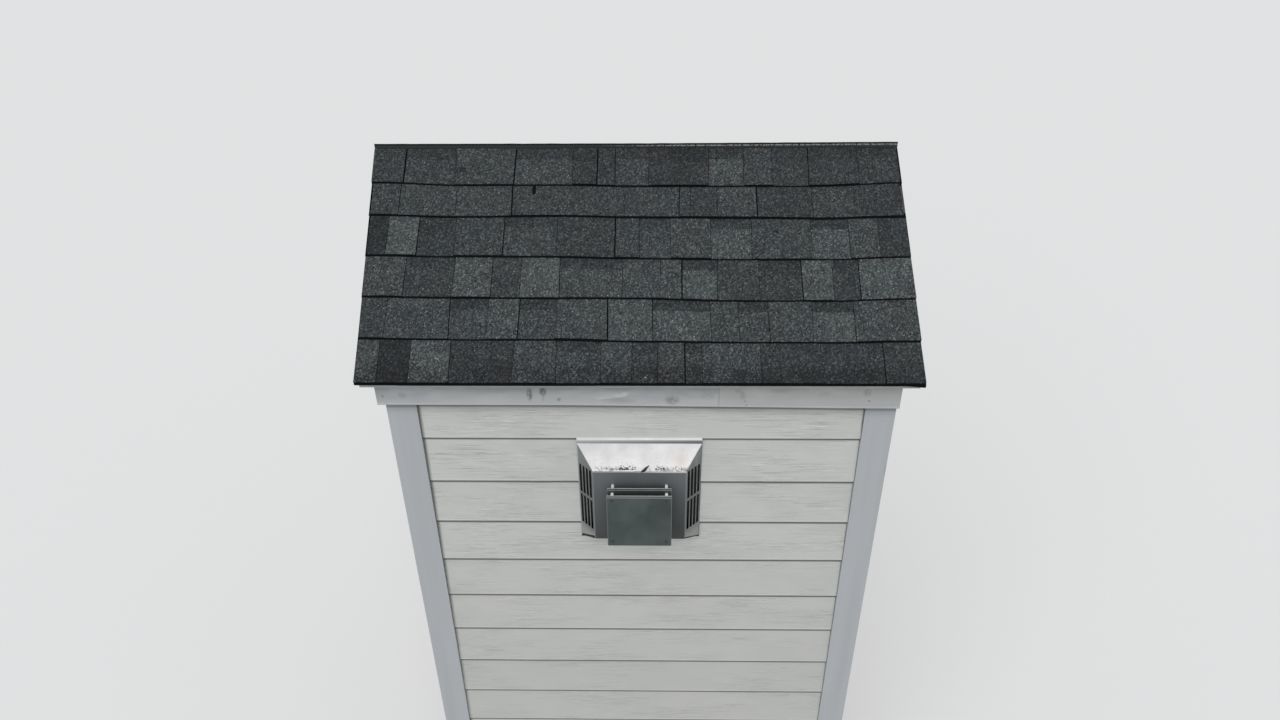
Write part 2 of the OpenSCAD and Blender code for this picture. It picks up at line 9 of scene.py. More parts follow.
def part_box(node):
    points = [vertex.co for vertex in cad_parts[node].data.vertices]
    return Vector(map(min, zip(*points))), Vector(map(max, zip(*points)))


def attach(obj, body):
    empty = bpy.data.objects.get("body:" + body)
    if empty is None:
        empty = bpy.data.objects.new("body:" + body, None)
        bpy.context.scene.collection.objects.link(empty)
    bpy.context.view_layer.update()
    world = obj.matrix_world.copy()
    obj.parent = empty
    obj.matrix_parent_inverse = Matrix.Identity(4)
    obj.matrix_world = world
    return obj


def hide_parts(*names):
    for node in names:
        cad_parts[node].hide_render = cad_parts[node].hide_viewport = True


# Looks of a shed-roofed wall bump-out with a direct-vent cap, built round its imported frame.
# Lengths are in metres, or mm where a comment says so: X runs right along the house wall, Y into it, Z up.

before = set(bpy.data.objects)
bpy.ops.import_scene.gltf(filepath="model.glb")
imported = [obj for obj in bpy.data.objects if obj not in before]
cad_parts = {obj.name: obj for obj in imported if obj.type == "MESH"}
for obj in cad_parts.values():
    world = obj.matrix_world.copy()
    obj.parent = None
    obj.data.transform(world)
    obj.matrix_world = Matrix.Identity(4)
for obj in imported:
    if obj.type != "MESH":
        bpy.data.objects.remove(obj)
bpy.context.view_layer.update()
MM = 0.001

# Camera, solved from the straight edges of the real bump-out
FOCAL_PX = 929.8
FRAME_PX = 1280
SENSOR = 36.0
CAMERA_PLACE = Vector((0.0448, -2.9528, 4.5042))
CAMERA_PITCH = 0.5733
CAMERA_YAW = -0.0189
CAMERA_ROLL = -0.0088
VIEW_REACH = 200

# Light and floor
SKY_COLOUR = (0.98, 0.99, 1.0, 1)
SKY_STRENGTH = 0.80
SUN_STRENGTH = 1.35
SUN_SPREAD = math.radians(60)
SUN_TURN = (math.radians(52), math.radians(-4), math.radians(-8))
FLOOR_HALF = 20
FLOOR_SEEN = (0.72, 0.72, 0.72, 1)
FLOOR_BOUNCE = (0.15, 0.15, 0.15, 1)

# Vent cap: side panels' inset, the plate's pale strip of painted light along its lip and its dark strip at
# the foot, half the slotted zone and the top's hem
PANEL_INSET = 0.001
PALE_LIP = 0.0068
PLATE_DROP = 0.006
SLOTS_HALF = 0.12
TOP_HEM = 0.0098

# Angles on the roof's ends: depth of the face and at the eave, where the full depth starts, and the leg
RAKE_FACE = 0.028
RAKE_END = 0.015
RAKE_TAPER = 0.09
RAKE_LEG = 0.038

# Flashing along the wall: its leg on the roof, how far the leg stops short of each end, and its grid
FLASHING_LEG = 0.070
LEG_SHORT_LEFT = 0.025
LEG_SHORT_RIGHT = 0.014
FLASHING_COLUMN = 0.012

# Siding
EXPOSURE = 0.1778
BOARD_H = 0.210
BOARD_T = 0.008
BUTT_ROUND = 0.0025
LEAST_BOARD = 0.010
BOARD_ROW = 0.010
BOARD_COLUMN = 0.035
BOARD_TONES = 0.8
VENT_HOLE = 0.095
FRIEZE_GAP = 0.0005
RAFTER_D = 0.089

# Roof
ROOF_ANGLE = math.radians(36.87)
EDGE_T = 0.001
SHINGLE_T = 0.005
TAB_T = 0.003
SHINGLE_LIFT = 0.0071
SHINGLE_OVER = 0.012
COURSE_SHOWS = [0.142, 0.142, 0.142, 0.142, 0.110, 0.157]
LEAN = SHINGLE_T / COURSE_SHOWS[0]
LEFT_FLARE = 0.024
RIGHT_TAPER = 0.012
WALL_CLEAR = 0.0018

# Tabs: how much of the near black layer below shows, as a painted shadow line under their lower edges, gaps,
# dark band, the edge across a lapped tab, and rows
FRONT_STEP = 0.0048
WANDER_LIMIT = 0.010
TAB_GAP = 0.0013
JOINT_GAP = 0.0024
OPEN_GAP = 0.0042
SHADOW_BAND = 0.043
BAND_EASE = 0.0005
SUNK_TONE = 0.20
LAP_PLACE = 0.745
LAP_STEP = 0.0016
TAB_ROW = 0.085
BAND_ROW = 0.07
FIRST_ROW = 0.04
TAB_COLUMN = 0.012
UNDER_COLUMNS = 0.02

# Bare strip at the right end of a course: its two sides from the roof's end, thickness and depth
BARE_SIDES = (0.0070, 0.0012)
BARE_T = 0.0008
BARE_DEPTH = 0.0022

# How light the granules of each blend are
BLENDS = dict(black=0.06, deep=0.18, dark=0.30, dull=0.39, plain=0.50, fair=0.62, light=0.76, pale=0.90)

# Shingle tabs of each course from the eave up: width in mm, blend if it isn't plain, and what is special.
# A sunk tab lies lower and has a dark top, and a lapped one has an edge across its middle.
# A joint runs up the left side of a jointed tab, and a wider one up the left side of an open tab.
COURSE_TABS = [
    "67, 96 black, 121 light, 192 dark sunk, 130, 135 sunk, 94, 78 dark sunk, 80, 53 sunk open, 177,"
    "183 dark, 185 dark sunk, 120 dark jointed",
    "80 dark, 196, 118 dull sunk jointed, 96 fair, 116 dull sunk jointed, 156, 139 light open,"
    "178 light sunk jointed, 85, 92 sunk, 133, 128 light sunk, 194",
    "130, 154 dark sunk, 119 light, 91 dark jointed, 121 pale, 197 sunk jointed, 117, 66,"
    "112 light sunk open, 129 dark, 132 dark sunk, 96 light jointed, 82 dark sunk, 169 light jointed",
    "66 black, 97 light, 119 deep sunk jointed, 154 dull, 171 dull sunk jointed, 182 dark, 78 dull open,"
    "98 sunk, 128, 129 light sunk, 189 dull, 118 light sunk, 93, 88 deep sunk",
    "96, 184 jointed, 179, 362 dull open, 176, 36 jointed, 87 dark, 125, 178 dark open, 135, 147 dark",
    "105 dull, 169 dull sunk open, 192, 190 fair sunk open, 79 dark lapped, 59 dark open,"
    "110 sunk jointed, 194 dark lapped, 114 light sunk, 93, 116 dull sunk, 161 dull lapped jointed,"
    "131 dull sunk",
]

# Rise of each course's lower edge over a straight line, in mm, at even places from left to right
COURSE_WANDER = [
    [2, 1, 1, 1.5, 2, 2, 1],
    [7.5, 5, 4.5, -1, -4, -4, 0],
    [5.5, 1.5, 0.5, -0.5, -8.5, -8.5, -1],
    [5.5, 1.5, 0.5, -5.5, -9, -9, 0],
    [8, 0.5, 4, -2, -4, -7, 0],
    [17, 6, 7, 1, 1, 1, 14],
]

# How much darker or lighter each course is
COURSE_TONES = [-0.04, 0.0, 0.02, 0.0, -0.08, -0.08]

# How far each course stops short of the roof's left and right end, in mm, and the one with a bare right end
END_INSETS = [(0, 1), (3, 0), (2, 0), (6, 0), (7, 8), (1, 6)]
BARE_END = 4

# Along X, as X and value in mm: drop of the flashing's upper edge, sag of the eave, rise of the fascia
UPSTAND_SINK = [(0, 4.0), (840, 0.6)]
EAVE_DROOP = [(-762, 0.3), (-735, 3.6), (-200, 3.6), (150, 1.0), (300, -1.8), (640, -1.8), (700, -0.6),
              (735, 0.5), (800, 2.8), (852, 8.5)]
FASCIA_RISE = [(-230, 7.0), (360, 1.0), (590, -2.0), (800, -3.0)]

# The fascia's rise as one straight ramp, for the finishes: from X to X, and the rise at both
RISE_RAMP = (-0.23, 0.65, 0.007, -0.0025)

# Small things that lie on the roof, as X and distance up the slope in mm, and then their size
TWIG_ON_ROOF = [(-502, 361), (-486, 353), (-476, 342), (-459, 332), (-434, 318)]
PALE_BITS = [(-359, 187, 6), (-501, 96, 4), (-2, 167, 5), (17, 10, 6), (746, 441, 5), (624, 752, 5)]
SEALANT_DRIP = (-346, 638, 12, 28)
DARK_SPOTS = [(-585, 727, 15), (-529, 713, 9), (428, 501, 10)]
SPOT_HEIGHT = 0.012

# Heaps of crumbs along the front edge of the cap's top: from X to X in mm, how many, and their size
CAP_HEAPS = [(-148, -75, 40, 1.4), (-72, -16, 70, 2.1), (48, 78, 30, 1.9), (80, 138, 34, 1.4)]

# Dirt marks on the fascia, in mm: X, Z, half width, half height and strength
FASCIA_MARKS = [
    (-338, 2878, 11, 30, 0.75), (-297, 2888, 14, 20, 0.80), (-296, 2862, 5, 14, 0.35),
    (-249, 2858, 8, 9, 0.45), (98, 2856, 30, 20, 0.45), (300, 2890, 14, 10, 0.40),
    (313, 2874, 10, 20, 0.45), (321, 2853, 5, 5, 0.85), (326, 2840, 5, 4, 0.7), (428, 2892, 40, 12, 0.30),
    (690, 2886, 18, 18, 0.50), (699, 2855, 5, 5, 0.75), (-790, 2868, 5, 5, 0.7), (-730, 2872, 18, 16, 0.2),
    (205, 2870, 30, 14, 0.15), (560, 2880, 22, 12, 0.18),
]
# Painted highlights on the fascia's dented ridge, the painted shade under them and a mark on the right corner
# board
RIDGE_HIGHLIGHTS = [(-120, 2862, 26, 8, 0.5), (-92, 2864, 34, 10, 0.6), (-62, 2871, 26, 10, 0.55),
          (-46, 2880, 14, 10, 0.4)]
RIDGE_SHADE = (-64, 2854, 64, 12, 0.6)
CORNER_MARK = (810, 2560, 24, 52, 0.55)

# Depth that a mark reaches, the fascia's seam, folded lower edge and shallow dent, and its grid
MARK_DEPTH = 0.05
FASCIA_SEAM = 0.241
FASCIA_FOLD = 0.0045
FASCIA_DENT = (-0.52, 2.880)
FASCIA_COLUMN = 0.008
FASCIA_ROW = 0.004

# Middle of the crescent ridge on the fascia, its tilt and half its length
RIDGE_MIDDLE = (-0.085, 2.868)
RIDGE_TILT = 0.12
RIDGE_HALF = 0.060

# Rusty bloom on the cap's top, and where its loose crumbs lie along X
RUST_PLACE = (0.124, -0.625, 2.62)
CRUMB_RANGE = (-0.15, 0.13)

# Fall of the fascia's shadow for each metre that a face lies behind it
SHADE_FALL = 0.72


def srgb(red, green, blue):
    """Linear colour with alpha of an 8-bit screen colour."""
    values = []
    for value in (red, green, blue):
        share = value / 255
        values.append(share / 12.92 if share <= 0.04045 else ((share + 0.055) / 1.055) ** 2.4)
    return (*values, 1.0)


class Finish:
    """A procedural material: coats of colour laid through masks, and layers of relief.

    A colour of three numbers is a screen colour. A mask is a node's output, or a number.
    """

    def __init__(self, name, roughness, metallic=0.0, specular=0.5):
        self.material = bpy.data.materials.new(name)
        self.material.use_nodes = True
        self.tree = self.material.node_tree
        self.shader = self.tree.nodes["Principled BSDF"]
        self.feed(self.shader, {"Roughness": roughness, "Metallic": metallic, "Specular IOR Level": specular})
        self.place = self.node("TexCoord", "Object", {})
        self.tint = None
        self.relief = None

    def feed(self, node, inputs):
        """Links each of a node's inputs to an output, or sets it to a value."""
        for name, value in inputs.items():
            if isinstance(value, bpy.types.NodeSocket):
                self.tree.links.new(value, node.inputs[name])
            else:
                node.inputs[name].default_value = value

    def node(self, kind, output, inputs, **settings):
        """One output of a new node, once the node is set and fed."""
        node = self.tree.nodes.new("ShaderNode" + kind)
        for name, value in settings.items():
            setattr(node, name, value)
        self.feed(node, inputs)
        return node.outputs[output]

    def scaled(self, stretch, turn=None):
        """Object coordinates, turned and then stretched by one number or by three."""
        place = self.place
        if turn:
            place = self.node("Mapping", "Vector", {"Vector": place, "Rotation": turn})
        if not isinstance(stretch, tuple):
            stretch = (stretch,) * 3
        return self.node("Mapping", "Vector", {"Vector": place, "Scale": stretch})

    def noise(self, stretch, detail=3.0, rough=0.5, distortion=0.0):
        return self.node("TexNoise", "Fac", {"Vector": self.scaled(stretch), "Scale": 1.0, "Detail": detail,
                                             "Roughness": rough, "Distortion": distortion})

    def cells(self, stretch, output="Distance", turn=None):
        return self.node("TexVoronoi", output, {"Vector": self.scaled(stretch, turn), "Scale": 1.0})

    def ramp(self, value, low, high, start=0.0, end=1.0):
        """Value mapped from low..high to start..end, held at the ends."""
        return self.node("MapRange", "Result", {"Value": value, "From Min": low, "From Max": high,
                                                "To Min": start, "To Max": end})

    def axis(self, letter):
        return self.node("SeparateXYZ", letter, {"Vector": self.place})

    def slope(self, letter, *ends):
        """Ramp between two places on an axis."""
        return self.ramp(self.axis(letter), *ends)

    def patches(self, stretch, low, high, start=0.0, end=1.0, **noise_settings):
        """Mask of soft uneven patches, cut at a low and a high level."""
        return self.ramp(self.noise(stretch, **noise_settings), low, high, start, end)

    def specks(self, stretch, inner, outer):
        """Mask of round dots, full within one radius and gone beyond the other."""
        return self.ramp(self.cells(stretch), inner, outer, 1.0, 0.0)

    def math(self, operation, first, second=0.0):
        return self.node("Math", "Value", {0: first, 1: second}, operation=operation)

    def both(self, *masks):
        """Product of several masks."""
        result = masks[0]
        for mask in masks[1:]:
            result = self.math("MULTIPLY", result, mask)
        return result

    def mix(self, share, first, second):
        """Two colours mixed by a share."""
        first, second = (srgb(*colour) if isinstance(colour, tuple) else colour for colour in (first, second))
        return self.node("Mix", 2, {0: share, 6: first, 7: second}, data_type="RGBA")

    def base(self, share, first, second):
        """First coat, mixed from two colours."""
        self.tint = self.mix(share, first, second)

    def coat(self, colour, *masks):
        """Lays a colour over the coats before, as thick as the product of its masks."""
        self.tint = self.mix(self.both(*masks), self.tint, colour)

    def tone(self):
        """Number that each face of a piece carries."""
        return self.node("Attribute", "Fac", {}, attribute_name="tone")

    def off_vent(self):
        """Distance to either side of the vent's middle."""
        return self.math("ABSOLUTE", self.math("SUBTRACT", self.axis("X"), VENT_X))

    def towards(self, vector, direction):
        """Length of a vector along a direction."""
        return self.node("VectorMath", "Value", {0: vector, 1: direction}, operation="DOT_PRODUCT")

    def beyond(self, normal, point, soft=0.0002):
        """Mask of what lies past a plane through a point, on its normal's side."""
        unit = Vector(normal).normalized()
        level = unit.dot(Vector(point))
        return self.ramp(self.towards(self.place, unit), level - soft, level + soft)

    def facing(self, direction):
        """Mask of the faces that look in a direction."""
        normal = self.node("NewGeometry", "True Normal", {})
        return self.ramp(self.towards(normal, Vector(direction).normalized()), 0.80, 0.86)

    def blot(self, centre, half, soft=0.4):
        """Mask of a soft round or drawn-out mark, from its middle to its edge."""
        shift = self.node("VectorMath", "Vector", {0: self.place, 1: centre}, operation="SUBTRACT")
        scale = self.node("VectorMath", "Vector", {0: shift, 1: half}, operation="DIVIDE")
        length = self.node("VectorMath", "Value", {0: scale}, operation="LENGTH")
        return self.ramp(length, soft, 1.0, 1.0, 0.0)

    def front_mark(self, x, z, half_x, half_z, face_y, soft=0.4):
        """Blot on a face that looks to the front, at X and Z and with half sizes in mm."""
        return self.blot((x * MM, face_y, z * MM), (half_x * MM, MARK_DEPTH, half_z * MM), soft)

    def over_fascia_line(self):
        """Height less the rise of the fascia's lower edge."""
        return self.math("SUBTRACT", self.axis("Z"), self.slope("X", *RISE_RAMP))

    def shade_under_fascia(self, face_y, *masks):
        """Darkens a face under the fascia's lower edge, softly at first and then hard."""
        foot = fascia_low.z - (face_y - fascia_low.y) * SHADE_FALL
        height = self.over_fascia_line()
        soft = self.ramp(height, foot - 0.034, foot - 0.002, 0.0, 0.30)
        hard = self.ramp(height, foot - 0.012, foot - 0.007, 0.0, 0.42)
        self.coat((70, 72, 68), self.math("ADD", soft, hard), *masks)

    def bump(self, height, strength, distance):
        """Adds a layer of relief over the ones before."""
        inputs = {"Strength": strength, "Distance": distance, "Height": height}
        if self.relief is not None:
            inputs["Normal"] = self.relief
        self.relief = self.node("Bump", "Normal", inputs)
        self.feed(self.shader, {"Normal": self.relief})

    def done(self):
        """The material, once its coats are linked to the shader."""
        self.feed(self.shader, {"Base Color": self.tint})
        return self.material


# Faces of the walls, the roof and the vent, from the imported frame
front_low, front_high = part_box("siding_front")
right_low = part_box("siding_right")[0]
SHEATH_Y = front_high.y
SHEATH_X = right_low.x
SIDING_FOOT = front_low.z
SOFFIT_Z = front_high.z
SIDE_FRONT = right_low.y
CORNER_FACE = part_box("corner_board_right")[0].y
FRIEZE_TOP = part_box("side_frieze_right")[1].z
deck_low, deck_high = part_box("roof_deck")
ROOF_LEN = -deck_low.y / math.cos(ROOF_ANGLE)
EAVE_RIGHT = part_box("shingle_course_1")[1].x
WALL_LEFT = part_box("shingle_course_6")[0].x
fascia_low, fascia_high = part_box("fascia")
flashing_low, flashing_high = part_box("head_flashing")
drip_low, drip_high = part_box("drip_edge")
plate_low, plate_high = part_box("vent_plate")
top_low, top_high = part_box("vent_top")
cap_low, cap_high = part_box("vent_front")
collar_low, collar_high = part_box("air_collar")
VENT_X = (plate_low.x + plate_high.x) / 2
VENT_Z = (collar_low.z + collar_high.z) / 2


def along(marks, x):
    """Value at x on a line through marks in mm, held level beyond the first and the last."""
    for (x0, low), (x1, high) in zip(marks, marks[1:]):
        if x <= x1 * MM:
            share = max(0.0, (x - x0 * MM) / ((x1 - x0) * MM))
            return (low + (high - low) * share) * MM
    return marks[-1][1] * MM


def roof_point(x, u, n):
    """Point at u up the slope from the deck's lower edge and n out from the deck's face."""
    base_z = deck_high.z + deck_low.y * math.tan(ROOF_ANGLE)
    return Vector((
        x,
        deck_low.y + u * math.cos(ROOF_ANGLE) - n * math.sin(ROOF_ANGLE),
        base_z + u * math.sin(ROOF_ANGLE) + n * math.cos(ROOF_ANGLE)))


def siding_finish():
    """Light warm grey paint over an embossed grain, with painted highlights and shadows along the laps and
    painted shade beside the trim.
    """
    made = Finish("painted_siding", 0.72, specular=0.3)
    grain = made.noise((11, 11, 360), detail=4, rough=0.65, distortion=0.1)
    strong = made.patches((3.2, 3.2, 11), 0.42, 0.62, 0.12, 1.0)
    valley = made.both(made.ramp(grain, 0.54, 0.64), strong)
    ridge = made.both(made.ramp(grain, 0.45, 0.35), strong)
    made.base(made.patches((3, 3, 5), 0.35, 0.65, detail=2), (199, 201, 197), (202, 201, 199))
    made.coat((194, 197, 194), made.ramp(made.tone(), 0, 1))
    made.coat((160, 161, 156), valley, 0.7)
    made.coat((228, 229, 226), ridge, 0.75)
    made.coat((186, 188, 185), made.patches((6, 6, 9), 0.45, 0.68, 0.0, 0.45, detail=4, rough=0.6))
    made.coat((184, 186, 182), made.slope("Z", 2.35, 1.60, 0.0, 0.5))
    splash = made.math("ADD", made.axis("Z"), made.patches(7, 0.3, 0.7, -0.1, 0.1))
    made.coat((150, 145, 132), made.ramp(splash, 0.55, 0.22), 0.5)
    front = made.slope("Y", SHEATH_Y + 0.001, SHEATH_Y - 0.001)
    made.shade_under_fascia(front_low.y, front)
    height = made.math("SUBTRACT", made.axis("Z"), SIDING_FOOT)
    share = made.math("FRACT", made.math("DIVIDE", height, EXPOSURE))
    # Painted highlight just above each board's lower edge.
    made.coat((214, 214, 208), made.ramp(share, 0.016, 0.026), made.ramp(share, 0.060, 0.035), 0.35)
    # Painted shadow under the lower edge of the board above, and painted shade on each board's rounded lower
    # edge.
    lower = made.math("ADD", share, made.slope("Z", 2.78, 2.36, 0.0, 0.018))
    made.coat((80, 82, 78), made.ramp(lower, 0.942, 0.962), 0.80)
    made.coat((70, 72, 68), made.ramp(share, 0.018, 0.010), 0.80)
    # Painted shade in the recesses beside the corner boards: wider on the left, strongest near the top.
    left = made.both(made.slope("X", front_low.x + 0.011, front_low.x + 0.002),
                     made.slope("Z", 1.40, 2.60, 0.38, 0.72))
    right = made.both(made.slope("X", front_high.x - 0.005, front_high.x - 0.001),
                      made.slope("Z", 2.70, 2.74, 0.15, 0.72))
    made.coat((78, 80, 76), made.math("MAXIMUM", left, right), front)
    made.bump(made.math("SUBTRACT", ridge, valley), 0.6, 0.0008)
    made.bump(made.noise(60), 0.15, 0.0005)
    return made.done()


def trim_finish(name, stretch, first, second, upright=False):
    """Coated aluminium wrap, with soft creases along its length and fine dirt."""
    made = Finish(name, 0.45, 0.08, 0.45)
    crease = made.noise(stretch, detail=2)
    made.base(made.ramp(crease, 0.3, 0.7), first, second)
    made.coat((174, 177, 176), made.patches(5, 0.45, 0.7, 0.0, 0.5))
    made.coat((112, 110, 104), made.specks(75, 0.05, 0.09), made.patches(11, 0.58, 0.64, detail=1))
    if upright:
        made.shade_under_fascia(CORNER_FACE, 0.75)
        *place, strength = CORNER_MARK
        mottle = made.patches((60, 60, 40), 0.3, 0.6, 0.5, 1.0)
        made.coat((128, 124, 114), made.front_mark(*place, CORNER_FACE, 0.5), mottle, strength)
    made.bump(crease, 0.12, 0.002)
    made.bump(made.noise(14, detail=2), 0.12, 0.0015)
    return made.done()


def fascia_finish():
    """The fascia's wrap, with the smudges and run marks that it has gathered, and painted light and shade:
    the roof's shadow along its top, highlights and shade on its dented ridge, and a highlight along its fold.
    """
    made = Finish("wrapped_fascia", 0.45, 0.08, 0.45)
    face_y = fascia_low.y
    foot = fascia_low.z
    made.base(made.patches((1.8, 30, 30), 0.3, 0.7, detail=2), (164, 167, 171), (174, 176, 178))
    # Painted shadow of the roof's overhang, darkening the fascia towards its top.
    made.coat((138, 142, 141), made.slope("Z", foot + 0.022, foot + 0.070, 0.0, 0.9))
    made.coat((184, 186, 187), made.patches((9, 9, 22), 0.42, 0.66, 0.0, 0.4))
    mottle = made.patches((110, 110, 70), 0.34, 0.52, 0.25, 1.0, detail=4, rough=0.6)
    for *place, strength in FASCIA_MARKS:
        made.coat((62, 62, 60), made.front_mark(*place, face_y), mottle, strength)
    # Painted highlights on the dented ridge, and painted shade under it.
    for *place, strength in RIDGE_HIGHLIGHTS:
        made.coat((214, 215, 215), made.front_mark(*place, face_y, 0.1), strength)
    *place, strength = RIDGE_SHADE
    made.coat((132, 134, 140), made.front_mark(*place, face_y, 0.2), strength)
    made.coat((172, 170, 167), made.slope("X", FASCIA_SEAM - 0.001, FASCIA_SEAM + 0.001), 0.35)
    seam = made.blot((FASCIA_SEAM, face_y, foot + 0.04), (0.0022, MARK_DEPTH, 0.08), 0.3)
    made.coat((112, 114, 114), seam, 0.5)
    # Painted highlight along the folded lower edge.
    made.coat((192, 194, 195), made.ramp(made.over_fascia_line(), foot + 0.006, foot + FASCIA_FOLD), 0.5)
    made.bump(made.noise(14, detail=2), 0.25, 0.0015)
    return made.done()


def shingle_finish():
    """Mineral granules on a charcoal ground, by the tone of each tab and darkest along the eave."""
    made = Finish("shingle_granules", 0.95, specular=0.15)
    tone = made.tone()
    made.base(tone, (33, 35, 37), (72, 78, 78))
    made.coat((50, 56, 62), made.patches(11, 0.47, 0.66, 0.0, 0.5, detail=2))
    made.coat((58, 55, 54), made.patches((8, 9, 7), 0.55, 0.72, 0.0, 0.45, detail=2))
    made.coat((34, 37, 38), made.patches(24, 0.35, 0.7, 0.0, 0.35))
    eaves = made.both(made.slope("Z", deck_low.z + 0.075, deck_low.z + 0.035),
                      made.patches(14, 0.35, 0.65, detail=2))
    made.coat((30, 32, 34), eaves, 0.55)
    made.coat((24, 26, 28), made.slope("Z", deck_low.z + 0.057, deck_low.z + 0.040, 0.0, 0.38))
    amount = made.both(made.ramp(tone, 0.05, 0.7, 0.30, 1.0), made.ramp(eaves, 0, 1, 1.0, 0.6))
    coarse = made.cells(230, "Color")
    made.coat((124, 129, 130), made.ramp(coarse, 0.60, 0.95), amount, 0.62)
    made.coat((14, 16, 17), made.ramp(coarse, 0.45, 0.08), 0.75)
    fine = made.cells(520, "Color")
    made.coat((104, 108, 110), made.ramp(fine, 0.5, 0.95), amount, 0.4)
    lit = made.ramp(made.cells(120, "Color"), 0.66, 0.9)
    made.coat((150, 153, 152), made.specks(120, 0.16, 0.26), lit, amount)
    for x, u, size in DARK_SPOTS:
        centre = roof_point(x * MM, u * MM, SPOT_HEIGHT)
        made.coat((16, 19, 24), made.blot(centre, (size * MM,) * 3, 0.5), 0.7)
    made.bump(coarse, 0.7, 0.0012)
    made.bump(fine, 0.4, 0.0006)
    return made.done()


def flashing_finish():
    """Dark metal angle with its upper edge black, partly as painted shade along the wall above, and a broken
    pale speckled line below it.
    """
    made = Finish("flashing_shade_and_pale_line", 0.6, 0.1, 0.3)
    places = [x * MM for x, sink in UPSTAND_SINK]
    edge = made.slope("X", *places, *(flashing_high.z - along(UPSTAND_SINK, x) for x in places))
    depth = made.math("SUBTRACT", edge, made.axis("Z"))
    # Black upper edge, partly painted shade along the junction with the wall.
    made.base(made.ramp(depth, 0.0050, 0.0065), (12, 12, 13), (46, 49, 50))
    row = made.both(made.ramp(depth, 0.0050, 0.0057), made.ramp(depth, 0.0102, 0.0094),
                    made.slope("X", -0.14, 0.10))
    made.coat((146, 146, 142), row, made.patches(150, 0.42, 0.52), 0.85)
    made.bump(made.noise(60, detail=2), 0.3, 0.0005)
    return made.done()


def plain_finish(name, first, second, roughness, metallic=0.0, scale=20.0, specular=0.5):
    """Two close colours in soft patches, with a fine uneven surface."""
    made = Finish(name, roughness, metallic, specular)
    made.base(made.patches(scale, 0.35, 0.65, detail=4, rough=0.6), first, second)
    made.bump(made.noise(scale * 9, detail=2), 0.4, 0.0003)
    return made.done()


def front_sheet_finish():
    """Dull sheet of the cap's front, painted dark as a reflection of the ground, with painted shade making it
    darker towards its foot than under its hem, and black inside as painted shade.
    """
    made = Finish("cap_front_sheet", 0.5, 0.2, 0.4)
    rise = made.math("ADD", made.axis("Z"), made.patches((10, 10, 6), 0.3, 0.7, -0.035, 0.035))
    # Painted reflection and shade: dark for the ground seen in this upright face, and darker still towards
    # its foot.
    made.base(made.ramp(rise, cap_low.z + 0.03, cap_high.z - 0.02), (64, 67, 66), (102, 106, 109))
    shade = made.blot((VENT_X + 0.13, cap_low.y, cap_low.z + 0.02), (0.07, 0.1, 0.20), 0.2)
    made.coat((56, 59, 58), shade, 0.5)
    half = cap_high.x - VENT_X
    made.coat((150, 153, 152), made.ramp(made.off_vent(), half - 0.0035, half - 0.0020), 0.55)
    # Painted shade: black inside the cap.
    made.coat((10, 10, 10), made.slope("Y", cap_high.y - 0.0004, cap_high.y))
    made.bump(made.noise(18, detail=2), 0.2, 0.001)
    return made.done()


def side_sheet_finish(name, side):
    """Weathered zinc of a splayed side panel, with painted shade making its inner face and a wedge along its
    foot black.
    """
    made = Finish(name, 0.55, 0.2, 0.4)
    made.base(made.patches((26, 26, 12), 0.3, 0.7), (112, 115, 114), (136, 139, 138))
    made.coat((158, 159, 157), made.slope("Z", VENT_Z - SLOTS_HALF, VENT_Z - SLOTS_HALF - 0.03, 0.0, 0.8))
    made.coat((80, 84, 84), made.slope("Z", VENT_Z - SLOTS_HALF, VENT_Z - SLOTS_HALF + 0.01),
              made.slope("Z", VENT_Z + SLOTS_HALF, VENT_Z + SLOTS_HALF - 0.01), 0.45)
    # Painted shade: black on the inner face, and on a wedge along the foot of the outer face.
    run = Vector((plate_high.x - PANEL_INSET - cap_high.x, plate_low.y - cap_high.y, 0))
    lit = made.facing((side * run.y, -run.x, 0))
    corner = (VENT_X + side * 0.152, 0, VENT_Z - 0.145 - side * 0.0025)
    wedge = made.beyond((-side * 0.033, 0, -0.048), corner)
    unshaded_outside = made.both(lit, made.ramp(wedge, 0, 1, 1, 0))
    made.tint = made.mix(unshaded_outside, (14, 14, 14), made.tint)
    made.bump(made.noise(30, detail=2), 0.2, 0.0006)
    return made.done()


def plate_finish():
    """Dull sheet of the mounting plate: pale along its top as painted light on its lip, darker to the right
    as painted shade under the lip, black inside the cap as painted shade, and black at its foot.
    """
    made = Finish("mounting_plate", 0.55, 0.15, 0.4)
    cloud = made.noise(14)
    # Painted light: the pale colour of the sloping lip that faces the sky.
    pale = made.mix(made.ramp(cloud, 0.3, 0.7), (200, 200, 197), (216, 216, 213))
    # Painted shade under the lip, darker to the right.
    made.base(made.slope("X", VENT_X - 0.19, VENT_X + 0.19), (168, 170, 170), (112, 115, 118))
    lip = plate_high.z - PALE_LIP
    made.coat(pale, made.slope("Z", lip - 0.0008, lip + 0.0008))
    # Painted shade: black inside the cap.
    half = top_high.x - VENT_X - 0.003
    inside = made.both(made.ramp(made.off_vent(), half, half - 0.001),
                       made.slope("Z", top_high.z - 0.001, top_high.z - 0.002),
                       made.slope("Z", cap_low.z - 0.028, cap_low.z - 0.026))
    drop = plate_low.z + PLATE_DROP
    made.coat((8, 8, 8), made.math("MAXIMUM", inside, made.slope("Z", drop + 0.0015, drop)))
    made.bump(cloud, 0.2, 0.001)
    return made.done()


